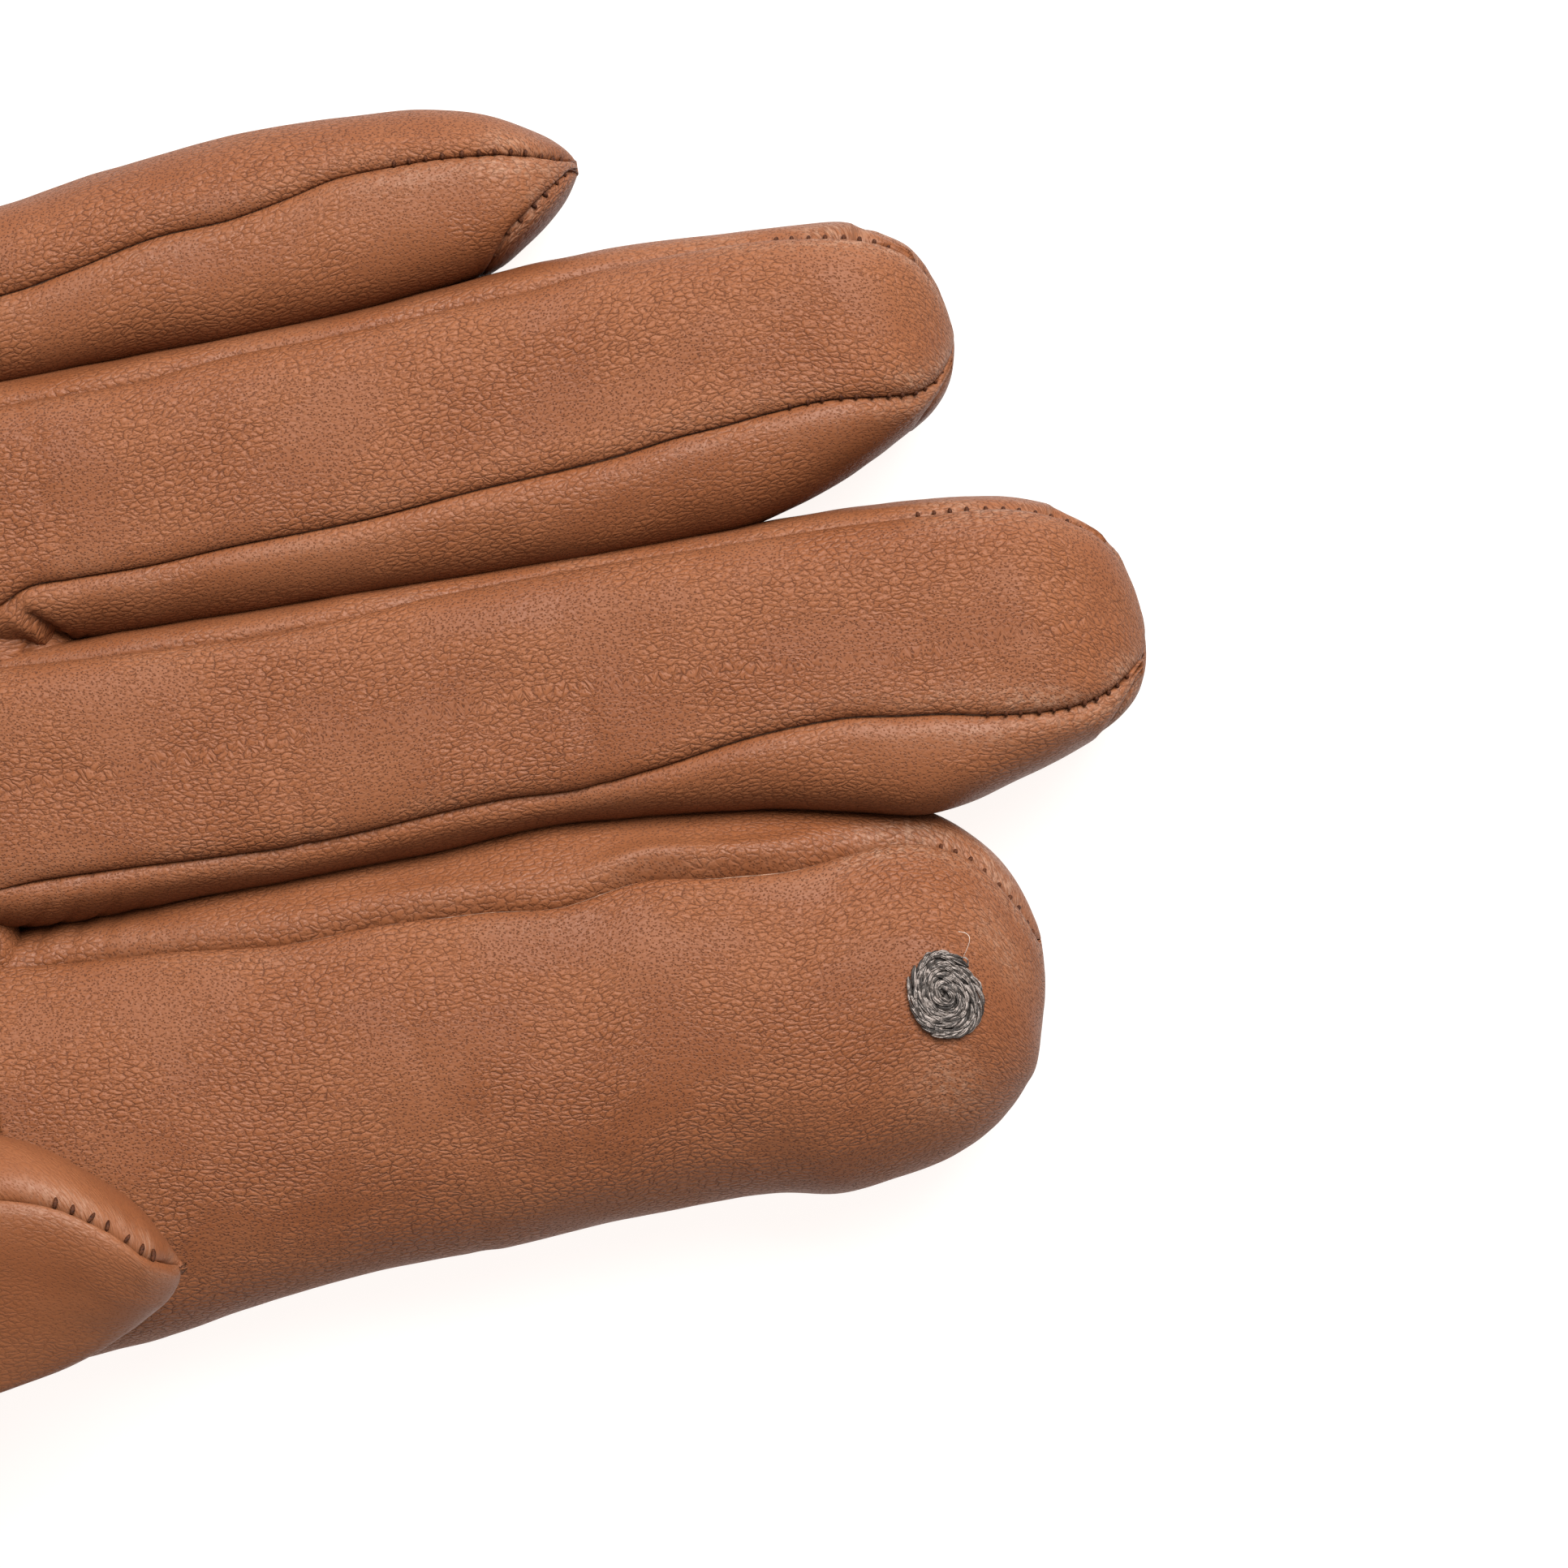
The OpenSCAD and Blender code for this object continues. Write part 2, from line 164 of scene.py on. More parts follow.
def new_object(name, points, faces, material, uv=None, wear_and_sheen=None, smooth=None):
    """An object from points in millimetres and faces of equal length; points with no face are dropped."""
    faces = np.asarray(faces, np.int32)
    used, flat = np.unique(faces, return_inverse=True)
    flat = flat.reshape(-1).astype(np.int32)
    count, corners = faces.shape
    me = bpy.data.meshes.new(name)
    me.vertices.add(len(used))
    me.vertices.foreach_set("co", (np.asarray(points, float)[used] * MM).astype(np.float32).ravel())
    me.loops.add(count * corners)
    me.loops.foreach_set("vertex_index", flat)
    me.polygons.add(count)
    me.polygons.foreach_set("loop_start", np.arange(0, count * corners, corners, dtype=np.int32))
    me.update(calc_edges=True)
    me.polygons.foreach_set("use_smooth", np.full(count, True) if smooth is None else smooth)
    if uv is not None:
        layer = me.uv_layers.new(name="Hide")
        layer.data.foreach_set("uv", (uv[used][flat] * MM).astype(np.float32).ravel())
    if wear_and_sheen is not None:
        spot = me.attributes.new("wear_and_sheen", "FLOAT", "POINT")
        spot.data.foreach_set("value", np.asarray(wear_and_sheen, np.float32)[used])
    me.materials.append(material)
    me.validate()
    ob = bpy.data.objects.new(name, me)
    bpy.context.scene.collection.objects.link(ob)
    return ob


def grid_faces(rows, cols, ring=False):
    i, j = np.meshgrid(np.arange(rows - 1), np.arange(cols if ring else cols - 1), indexing="ij")
    k = (j + 1) % cols
    quads = np.stack((i * cols + j, (i + 1) * cols + j, (i + 1) * cols + k, i * cols + k), axis=-1)
    return quads.reshape(-1, 4)[:, ::-1]


def rim_faces(outside, total):
    """Faces that join the open edges of an outer face to those of the inner face behind it."""
    edges = np.concatenate([outside[:, [k, (k + 1) % 4]] for k in range(4)])
    used = set(map(tuple, edges.tolist()))
    a, b = np.array([e for e in edges.tolist() if (e[1], e[0]) not in used]).T
    return np.stack((b, a, a + total, b + total), axis=1)


def hide_uv(along, round_at):
    """Where each point lies in the hide, in millimetres."""
    return np.stack(np.broadcast_arrays(along, round_at), axis=-1)


def sheet(name, p, material, uv, wear_and_sheen=None, thickness=HIDE_T, ring=False, keep=None):
    """A sheet with a real thickness: the grid p is its outer face."""
    rows, cols = p.shape[:2]
    wear_and_sheen = np.zeros((rows, cols)) if wear_and_sheen is None else wear_and_sheen
    total = rows * cols
    inner = p - normals(p, ring) * thickness
    outside = grid_faces(rows, cols, ring)
    if keep is not None:
        outside = outside[keep.ravel()[outside].all(axis=1)]
    inside = outside[:, ::-1] + total
    rims = rim_faces(outside, total)
    faces = np.concatenate((outside, inside, rims))
    smooth = np.arange(len(faces)) < 2 * len(outside)
    both = lambda a: np.concatenate((a, a))
    points = np.concatenate((p.reshape(-1, 3), inner.reshape(-1, 3)))
    return new_object(name, points, faces, material, both(uv.reshape(-1, 2)), both(wear_and_sheen.ravel()), smooth)


def tube(path, radius, sides=7, squash=1.0, up=(0, 0, 1)):
    """Points and faces of a thread along a path, with a radius at each point and a flat cap at each end."""
    path = np.asarray(path, float)
    count = len(path)
    radius = np.broadcast_to(radius, count)
    t = unit(np.gradient(path, axis=0))
    side = unit(np.cross(t, np.asarray(up, float)))
    top = np.cross(side, t)
    a = np.linspace(0, 2 * math.pi, sides, endpoint=False)
    ring = np.cos(a)[None, :, None] * side[:, None] + squash * np.sin(a)[None, :, None] * top[:, None]
    points = (path[:, None] + ring * radius[:, None, None]).reshape(-1, 3)
    faces = grid_faces(count, sides, ring=True)
    start, end = len(points), len(points) + 1
    j = np.arange(sides)
    k = (j + 1) % sides
    last = (count - 1) * sides
    # Each end closes on its own middle point, as quads with two equal corners would not validate
    caps = [np.stack((np.full(sides, start), k, j), axis=1),
            np.stack((np.full(sides, end), last + j, last + k), axis=1)]
    points = np.concatenate((points, path[:1], path[-1:]))
    return points, faces, np.concatenate(caps)


def threads(name, tubes, material):
    """One object out of many tubes."""
    points, tris, shift = [], [], 0
    for p, quads, caps in tubes:
        tris.append(quads[:, [0, 1, 2]] + shift)
        tris.append(quads[:, [0, 2, 3]] + shift)
        tris.append(caps + shift)
        points.append(p)
        shift += len(p)
    points = np.concatenate(points)
    uv = points[:, :2]
    return new_object(name, points, np.concatenate(tris), material, uv)


# ---------------------------------------------------------------- digits

class Digit:
    """A finger's outline from above, height and seams. c equals x up to the tip's rounding."""

    def __init__(self, tip, cap, hi, lo, half_h, mid_z, cap_n=2.3, square=FINGER_N):
        self.tip_x, self.tip_y = tip
        self.cap = cap
        self.cap_n = cap_n
        self.cap_x = self.tip_x - cap
        self.end = self.cap_x + cap * math.pi / 2
        at_tip = [(self.end, self.tip_y)]
        self.hi = curve([(self.c(x), y) for x, y in hi] + at_tip)
        self.lo = curve([(self.c(x), y) for x, y in lo] + at_tip)
        self.half_h = half_h
        self.mid_z = curve(mid_z)
        self.square = square if callable(square) else lambda c: square

    def c(self, x):
        past = np.clip((x - self.cap_x) / self.cap, 0, 1)
        return np.where(x > self.cap_x, self.cap_x + self.cap * np.arcsin(past), x)

    def x(self, c):
        past = np.clip((c - self.cap_x) / self.cap, 0, math.pi / 2)
        return np.where(c > self.cap_x, self.cap_x + self.cap * np.sin(past), c)

    def opening(self, c):
        """How far the seams have opened: the panels run into the hand's skin without a groove."""
        return ease((c - ROOT_X) / 7)

    def rows(self, start, step=0.5, tip_step=0.3):
        body = np.linspace(start, self.cap_x, int((self.cap_x - start) / step))
        over = np.linspace(self.cap_x, self.end - 0.12, int((self.end - self.cap_x) / tip_step))
        return np.concatenate((body, over[1:]))

    def point(self, c, t):
        hi, lo, x = self.hi(c), self.lo(c), self.x(c)
        past = np.clip((c - self.cap_x) / self.cap, 0, math.pi / 2)
        h = self.half_h * (1 - np.sin(past) ** self.cap_n) ** (1 / self.cap_n)
        a, power = np.radians(t), 2 / self.square(c)
        y = (hi + lo) / 2 + (hi - lo) / 2 * spow(np.cos(a), power)
        z = self.mid_z(x) + h * spow(np.sin(a), power)
        soft = 0.5
        z = soft * np.logaddexp(0, z / soft)
        return np.stack(np.broadcast_arrays(x, y, z), axis=-1)

    def seam(self, points, end):
        """The angle along c of a seam that is set by where it lies seen from the palm side."""
        angles = []
        for x, y in points:
            c = self.c(x)
            hi, lo = self.hi(c), self.lo(c)
            r = np.clip((y - (hi + lo) / 2) / ((hi - lo) / 2), -0.998, 0.998)
            angles.append((float(c), float(np.degrees(np.arccos(spow(r, self.square(c) / 2))))))
        return curve(angles + [(self.end, end)])

    def meet(self, seam, other, start, stop):
        """A seam that runs into another one over a stretch near the tip."""
        a, b = float(self.c(start)), float(self.c(stop))
        return lambda c: mix(seam(c), other(c), ease((c - a) / (b - a)))


def lay_columns(surface, c, start, end, spacing, edge=0.85):
    """Angles of a grid between two seams, with its columns closer together along both edges."""
    fine = np.linspace(0, 1, 200)
    t = start(c)[:, None] + (end(c) - start(c))[:, None] * fine
    run = lengths(surface(c[:, None], t), 1)
    width = run[:, -1]
    count = int(np.median(width) / spacing) + 12
    u = np.linspace(0, 1, count)
    share = mix(u, (1 - np.cos(math.pi * u)) / 2, edge)
    gap = np.minimum(EDGE_GAP, 0.05 * width)[:, None]
    want = gap + share * (width[:, None] - 2 * gap)
    angles = np.stack([np.interp(want[i], run[i], t[i]) for i in range(len(c))])
    return angles, want, width[:, None] - want, width[:, None]


class Edge:
    """How a panel's edge goes into its seam: depth and radius of the roll, and how much it puckers."""

    def __init__(self, depth, radius, pucker=0.0, near_tip=0.25):
        self.depth, self.radius = depth, radius
        self.pucker, self.near_tip = pucker, near_tip

    def drop(self, digit, c, d, width, seed):
        """How far the hide lies below the digit's section at a distance d from the seam."""
        fit = np.minimum(1, width / (2.4 * self.radius))
        wander = 1 + 0.12 * noise(c, 0, 6, 1, seed)
        drop = self.depth * wander * fit * roll(d, self.radius * fit + 1e-6)
        tip = ease((c - digit.cap_x + 10) / 14)
        pull = mix(self.pucker, self.near_tip, tip)
        beat = 0.5 + 0.5 * np.cos(2 * math.pi * c / STITCH + 0.7 * noise(c, 0, 3, 1, seed + 1))
        beat = beat * (0.75 + 0.25 * noise(c, 0, 0.9, 1, seed + 2))
        return drop + pull * beat * np.exp(-(d / 0.5) ** 1.3) * fit


def with_flanges(p, out):
    """A panel's grid with its two edges turned down into the seams, against the directions out."""
    flange = lambda k: np.stack([p[:, k] - out[:, k] * f for f in FLANGE], axis=1)
    return np.concatenate((flange(0)[:, ::-1], p, flange(-1)), axis=1)


def crease(c, v, at, slope, depth, width, bow=0.0):
    """A soft fold across a panel: v is the distance round the section."""
    line = at + slope * v + bow * np.sin(v * 0.5)
    return -depth * bell(c, line, width)


def panel(name, digit, seams, edges, material, seed, bulge=0.0, extra=None, start=ROOT_X,
          spacing=0.5, stop=None):
    """One leather panel of a digit, from the hand to its tip, between two seams."""
    surface = digit.point
    c = digit.rows(start)
    if stop is not None:
        c = c[c <= float(digit.c(stop))]
    t, da, db, width = lay_columns(surface, c, seams[0], seams[1], spacing)
    cc = c[:, None]
    p = surface(cc, t)
    n = normals(p)
    share = da / width
    h = bulge * np.sin(math.pi * share) * np.minimum(1, width / 8) * ease((digit.end - cc - 4) / 14)
    open_seam = digit.opening(cc)
    h = h * open_seam
    h = h - open_seam * edges[0].drop(digit, cc, da, width, seed)
    h = h - open_seam * edges[1].drop(digit, cc, db, width, seed + 5)
    body = np.clip(np.minimum(da, db) / 3, 0, 1) * np.clip((cc - start) / 6, 0, 1)
    fade = np.clip((digit.end - cc) / 6, 0, 1)
    h = h + body * fade * (0.16 * noise(cc, da, 9, 6, seed + 11) + 0.06 * noise(cc, da, 3.2, 2.4, seed + 12))
    if extra is not None:
        h = h + extra(cc, t, da, db, p)
    p = above_table(p + n * h[..., None])
    # Pale worn hide along the seams near the tips, partly real rubbing and partly a painted highlight for
    # their sheen and glints
    wear_and_sheen = np.pad(wear_and_sheen_map(digit, cc, da, db, seed), FLANGE_PAD)
    uv = np.pad(hide_uv(cc, da + 100 * (seed % 7)), (*FLANGE_PAD, (0, 0)), mode="edge")
    # The turned-in edges shrink to nothing at the tip, where the panels come together
    p = with_flanges(p, n * np.clip((digit.end - cc) / 1.6, 0.1, 1)[..., None] ** 2)
    return sheet(name, p, material, uv, wear_and_sheen)


# Pale spots on the index fingertip: partly rubbed hide, partly a painted highlight
RUBBED_AND_HIGHLIGHT_SPOTS = ((110.4, 7, 2.6), (103.5, 22, 3.4))     # on the index fingertip: c, distance round, size


def wear_and_sheen_map(digit, c, da, db, seed):
    """Where the hide is rubbed smooth and pale, and where pale sheen and glints are painted on as a
    highlight: along the seams near the tip, in patches.
    """
    near = bell(np.minimum(da, db), 1.2, 1.3)
    tip = ease((c - digit.cap_x + 14) / 16)
    patch = np.clip(0.5 + 0.9 * noise(c, da, 5, 3, seed + 21), 0, 1)
    wear_and_sheen = near * mix(0.25, 1.0, tip) * patch
    if digit is INDEX:
        for x, round_at, size in RUBBED_AND_HIGHLIGHT_SPOTS:
            wear_and_sheen = wear_and_sheen + 0.8 * np.exp(-((c - x) / size) ** 2 - ((da - round_at) / size) ** 2)
    return np.clip(wear_and_sheen, 0, 1)


# ---------------------------------------------------------------- materials

class Graph:
    """A material and the kinds of node that it is made of."""

    def __init__(self, name):
        self.material = bpy.data.materials.new(name)
        self.material.use_nodes = True
        tree = self.material.node_tree
        self.nodes, self.links = tree.nodes, tree.links
        self.shader = tree.nodes["Principled BSDF"]

    def feed(self, node, **values):
        """Set or link a node's inputs. A name's underscores stand for spaces."""
        for key, value in values.items():
            self.plug(node.inputs[key.replace("_", " ")], value)

    def plug(self, socket, value):
        if isinstance(value, bpy.types.NodeSocket):
            self.links.new(value, socket)
        elif isinstance(value, tuple) and socket.type == "RGBA":
            socket.default_value = (*value, 1)
        else:
            socket.default_value = value

    def add(self, kind, **values):
        node = self.nodes.new("ShaderNode" + kind)
        for key, value in values.items():
            setattr(node, key, value)
        return node

    def math(self, operation, a, b):
        node = self.add("Math", operation=operation)
        self.plug(node.inputs[0], a)
        self.plug(node.inputs[1], b)
        return node.outputs[0]

    def times(self, a, b):
        return self.math("MULTIPLY", a, b)

    def span(self, value, low, high, to_low=0.0, to_high=1.0):
        """A smooth step from to_low, where the value is low, to to_high, where it is high."""
        node = self.add("MapRange", clamp=True, interpolation_type="SMOOTHSTEP")
        self.feed(node, Value=value, From_Min=low, From_Max=high, To_Min=to_low, To_Max=to_high)
        return node.outputs["Result"]

    def blend(self, factor, a, b):
        node = self.add("Mix", data_type="RGBA")
        for slot, value in ((0, factor), (6, a), (7, b)):
            self.plug(node.inputs[slot], value)
        return node.outputs[2]

    def hide(self, along, across):
        """Texture coordinates that lie in the hide, with cells of the given sizes in millimetres."""
        uv = self.add("UVMap", uv_map="Hide")
        scale = self.add("VectorMath", operation="MULTIPLY")
        scale.inputs[1].default_value = (1 / (along * MM), 1 / (across * MM), 1)
        self.links.new(uv.outputs[0], scale.inputs[0])
        return scale.outputs[0]

    def noise(self, vector, detail=2.0, rough=0.5, distortion=0.0):
        node = self.add("TexNoise", noise_dimensions="2D")
        self.feed(node, Vector=vector, Scale=1, Detail=detail, Roughness=rough, Distortion=distortion)
        return node.outputs[0]

    def warped(self, vector, amount, size=1.0):
        """Coordinates pushed about by noise, so that the grain isn't regular."""
        push = self.add("TexNoise", noise_dimensions="2D")
        self.feed(push, Vector=vector, Scale=size, Detail=3)
        centre = self.add("VectorMath", operation="SUBTRACT")
        centre.inputs[1].default_value = (0.5, 0.5, 0.5)
        self.links.new(push.outputs["Color"], centre.inputs[0])
        scale = self.add("VectorMath", operation="SCALE")
        self.feed(scale, Scale=amount)
        self.links.new(centre.outputs[0], scale.inputs[0])
        total = self.add("VectorMath", operation="ADD")
        self.links.new(vector, total.inputs[0])
        self.links.new(scale.outputs[0], total.inputs[1])
        return total.outputs[0]

    def voronoi(self, vector, feature="DISTANCE_TO_EDGE"):
        node = self.add("TexVoronoi", voronoi_dimensions="2D", feature=feature)
        self.feed(node, Vector=vector, Scale=1)
        return node.outputs["Distance"]

    def bump(self, height, distance, strength):
        """Raise the surface by a height, over a distance in millimetres."""
        node = self.add("Bump")
        self.feed(node, Height=height, Distance=distance * MM, Strength=strength)
        self.feed(self.shader, Normal=node.outputs[0])


LEATHER_SMOOTH = (0.180, 0.061, 0.024)
LEATHER_PEBBLED = (0.228, 0.080, 0.032)
LEATHER_WARM = (0.216, 0.078, 0.032)
LEATHER_DEEP = (0.168, 0.053, 0.019)
CREASE = (0.038, 0.009, 0.003)
# Pale worn hide, also used as a painted highlight for the sheen and glints along seams and tips
RUBBED_AND_SHEEN = (0.330, 0.185, 0.120)
KNIT_DARK, KNIT_LIGHT, KNIT_GAP = (0.23, 0.115, 0.065), (0.36, 0.20, 0.125), (0.06, 0.025, 0.012)
ELASTIC_DARK, ELASTIC_LIGHT = (0.42, 0.38, 0.33), (0.72, 0.69, 0.63)


def grain_of(g):
    """The grain's marks, its pebbles' height, and where the hide is pebbled rather than smooth."""
    dots = g.voronoi(g.warped(g.hide(0.31, 0.27), 0.35), "F1")
    some = g.noise(g.hide(0.42, 0.36), 1)
    pore = g.times(g.span(dots, 0.13, 0.30, 1, 0), g.span(some, 0.36, 0.56, 0.2, 1.0))
    dashes = g.voronoi(g.warped(g.hide(0.62, 0.33), 0.6, 0.9), "F1")
    patch = g.noise(g.hide(11, 7), 3, 0.55)
    strength = g.span(patch, 0.32, 0.54, 0.62, 1.0)
    dash = g.times(g.span(dashes, 0.10, 0.27, 1, 0), strength)
    net = g.voronoi(g.warped(g.hide(0.85, 0.46), 0.9, 0.8))
    broken = g.noise(g.hide(0.9, 0.35), 3, 0.6)
    pebbly = g.span(patch, 0.38, 0.56, 0.15, 1.0)
    line = g.times(g.span(net, 0.0, 0.13, 1.0, 0), g.span(broken, 0.36, 0.56, 0.25, 1.0))
    line = g.times(line, pebbly)
    dots = g.times(g.math("MAXIMUM", dash, pore), g.span(pebbly, 0.3, 1.0, 1.0, 0.55))
    pillow = g.times(g.span(net, 0.0, 0.42), g.math("ADD", pebbly, 0.15))
    return g.math("MAXIMUM", dots, line), pillow, pebbly


def leather(name, grain=1.0, rough=0.5):
    """Fine aniline lambskin: pores that stretch into short creases, mottling, and rubbed spots that also
    carry a painted sheen highlight.
    """
    g = Graph(name)
    wear_and_sheen = g.add("Attribute", attribute_name="wear_and_sheen").outputs["Fac"]
    marks, pillow, pebbly = grain_of(g)
    mottle = g.noise(g.hide(14, 10), 4, 0.6)
    fleck = g.noise(g.hide(0.7, 0.5), 4, 0.65)
    colour = g.blend(g.span(mottle, 0.3, 0.7), LEATHER_DEEP, LEATHER_WARM)
    # The marks darken the pebbled places, so these start lighter than the smooth ones; the lighter start
    # also stands in for glints on the pebbles' tops, a painted highlight
    tone = g.blend(g.span(pebbly, 0.15, 1.0, 0.0, grain), LEATHER_SMOOTH, LEATHER_PEBBLED)
    colour = g.blend(0.5, colour, tone)
    colour = g.blend(g.span(fleck, 0.3, 0.75, 0.0, 0.3), colour, LEATHER_DEEP)
    # Painted highlight mixed with real rubbing: pale colour where the map marks the seams and tips
    rubbed = g.times(wear_and_sheen, g.span(fleck, 0.42, 0.62, 0.1, 0.6))
    colour = g.blend(rubbed, colour, RUBBED_AND_SHEEN)
    colour = g.blend(g.times(marks, 0.72 * grain), colour, CREASE)
    gloss = g.span(mottle, 0.25, 0.75, rough - 0.05, rough + 0.05)
    g.feed(g.shader, Base_Color=colour, Roughness=g.math("ADD", gloss, g.times(marks, 0.2)),
           Specular_IOR_Level=0.19)
    height = g.math("SUBTRACT", g.times(pillow, 1.3), marks)
    g.bump(g.math("ADD", height, g.times(fleck, 0.3)), 0.065 * grain, 0.6)
    return g.material


def knit(name):
    """Brushed rib knit."""
    g = Graph(name)
    loop = g.voronoi(g.warped(g.hide(1.3, 0.9), 0.35))
    fuzz = g.noise(g.hide(0.35, 0.35), 5, 0.7)
    gap = g.times(g.span(loop, 0.0, 0.3, 1, 0), 0.7)
    colour = g.blend(g.span(fuzz, 0.3, 0.7), KNIT_DARK, KNIT_LIGHT)
    g.feed(g.shader, Base_Color=g.blend(gap, colour, KNIT_GAP), Sheen_Weight=0.3,
           Roughness=g.span(fuzz, 0.2, 0.8, 0.82, 0.95))
    g.bump(g.math("ADD", g.span(loop, 0.0, 0.4), g.times(fuzz, 0.5)), 0.3, 0.8)
    return g.material


def yarn(name, dark, light, size, metallic=0.0, rough=(0.5, 0.7), gloss=0.5):
    """Spun thread: fine fibres that catch the light unevenly."""
    g = Graph(name)
    fibre = g.noise(g.hide(size, size), 4, 0.7, 0.6)
    tone = g.noise(g.hide(size * 5, size * 5), 3, 0.6)
    shade = g.math("ADD", g.times(fibre, 0.65), g.times(tone, 0.35))
    g.feed(g.shader, Base_Color=g.blend(g.span(shade, 0.36, 0.62), dark, light), Metallic=metallic,
           Roughness=g.span(tone, 0.3, 0.7, *rough), Specular_IOR_Level=gloss)
    g.bump(fibre, 0.05, 0.6)
    return g.material


def elastic(name):
    """White elastic: a coarse rib of covered rubber cords."""
    g = Graph(name)
    rib = g.voronoi(g.hide(1.0, 0.5))
    fuzz = g.noise(g.hide(0.3, 0.3), 4, 0.6)
    shade = g.times(g.span(rib, 0, 0.35), fuzz)
    g.feed(g.shader, Base_Color=g.blend(g.span(shade, 0.1, 0.5), ELASTIC_DARK, ELASTIC_LIGHT), Roughness=0.8)
    g.bump(shade, 0.15, 1.0)
    return g.material


HIDE = leather("lambskin_palm", 1.0, 0.50)
HIDE_SMOOTH = leather("lambskin_fork", 0.8, 0.44)
HIDE_THUMB = leather("lambskin_thumb", 0.4, 0.46)
THREAD = yarn("sewing_thread", (0.022, 0.006, 0.003), (0.085, 0.027, 0.011), 0.12, gloss=0.12)
CONDUCTIVE = yarn("conductive_yarn", (0.048, 0.038, 0.033), (0.31, 0.26, 0.235), 0.3, 0.2, (0.32, 0.45))
LINT = yarn("pale_fibre", (0.45, 0.36, 0.30), (0.75, 0.66, 0.58), 0.3)
# Near-black yarn: the dull filaments' own dark tone, and painted shade on the ground between the strands
CONDUCTIVE_DARK_AND_SHADE = yarn("conductive_ground", (0.010, 0.007, 0.006), (0.055, 0.044, 0.038), 0.2, 0.1,
                       (0.5, 0.7))
KNIT = knit("brushed_knit")
ELASTIC = elastic("elastic_tape")


def ride_piece(piece, body, slot, *replaced):
    """A piece that moves with one body."""
    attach(piece, body)
    dress(piece, slot, *replaced)


def bend_piece(piece, digit, slot, *replaced):
    """A piece that runs from the hand over the digit's bend."""
    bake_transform(piece)
    dress(piece, slot, *replaced)


def dress(piece, slot, *replaced):
    if replaced:
        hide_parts(*replaced)


def sew(name, tubes, body, material=THREAD, slot="sewing_thread"):
    """Threads that move with one body."""
    ride_piece(threads(name, tubes, material), body, slot)


# ---------------------------------------------------------------- the digits' shapes

def height(node):
    """A finger's half height and the height of its middle, from its CAD part."""
    top = cad(node)[1][2]
    return (top + SAG) / 2, [(-200, (top - SAG) / 2), (200, (top - SAG) / 2)]


INDEX_H, INDEX_Z = height("index_trank")
MIDDLE_H, MIDDLE_Z = height("middle_palm")
RING_H, RING_Z = height("ring_palm")
LITTLE_H, LITTLE_Z = height("little_palm")

INDEX = Digit(
    tip=(112.7, -26.2), cap=13, half_h=INDEX_H, mid_z=INDEX_Z, square=2.15,
    hi=[(20, -12.3), (34, -12.0), (46, -11.5), (64, -10.9), (73, -10.2), (79, -10.3), (86, -10.9),
        (92, -11.6), (99, -13.1), (104.6, -14.7), (107.7, -16.6), (109.4, -18.2), (110.9, -20.4),
        (112.3, -23.8)],
    lo=[(20, -48.6), (36, -47.5), (43, -46.3), (54, -44.7), (65, -44.4), (78, -43.7), (88, -43.6),
        (93.3, -44.4), (97.4, -43.9), (102.3, -42.9), (104.8, -41.9), (106.7, -40.7), (109.1, -38.5),
        (110.7, -36.2), (111.9, -32.5), (112.5, -29.4)])
MIDDLE = Digit(
    tip=(125.2, -1.8), cap=12, half_h=MIDDLE_H, mid_z=MIDDLE_Z, square=4.2,
    hi=[(20, 10.4), (40, 10.5), (60, 10.7), (92, 11.0), (104.5, 11.1), (109.6, 10.9), (112.6, 10.5),
        (117.2, 9.4), (120.6, 7.9), (122.6, 6.3), (123.9, 4.2), (124.9, 1.1)],
    lo=[(20, -12.1), (55, -11.2), (64, -10.9), (76, -10.4), (86, -11.0), (92, -11.7), (98.9, -13.0),
        (104.9, -14.0), (108.9, -13.4), (112.5, -12.5), (117.5, -11.1), (122.1, -8.9), (123.9, -7.0),
        (124.9, -4.6)])
RING = Digit(
    tip=(113.4, 24.4), cap=11, half_h=RING_H, mid_z=RING_Z, square=3.5,
    hi=[(20, 32.3), (35, 32.4), (47, 32.8), (58, 33.3), (68, 34.0), (76, 34.8), (84, 35.3), (93, 35.2),
        (101.3, 34.9), (106.6, 34.2), (108.9, 33.3), (110.9, 31.7), (112.4, 29.0), (113.2, 26.2)],
    lo=[(20, 11.0), (37, 10.8), (60, 10.8), (89, 11.3), (94.2, 11.8), (97.8, 12.8), (102.2, 14.3),
        (106.7, 16.2), (110.6, 18.4), (112.4, 20.6), (113.2, 22.9)])
LITTLE = Digit(
    tip=(84.8, 42.9), cap=7, half_h=LITTLE_H, mid_z=LITTLE_Z, cap_n=1.9, square=2.9,
    hi=[(20, 45.6), (37.5, 46.9), (49, 48.7), (58, 49.6), (67.4, 49.6), (73.9, 49.1), (78.6, 48.0),
        (82.0, 46.2), (84.2, 44.3)],
    lo=[(20, 32.6), (35, 32.5), (47, 32.9), (58, 33.4), (68, 34.2), (73.6, 34.9), (77.2, 35.8),
        (80.2, 37.6), (83.2, 40.2), (84.5, 42.0)])
FINGERS = {"index": INDEX, "middle": MIDDLE, "ring": RING, "little": LITTLE}

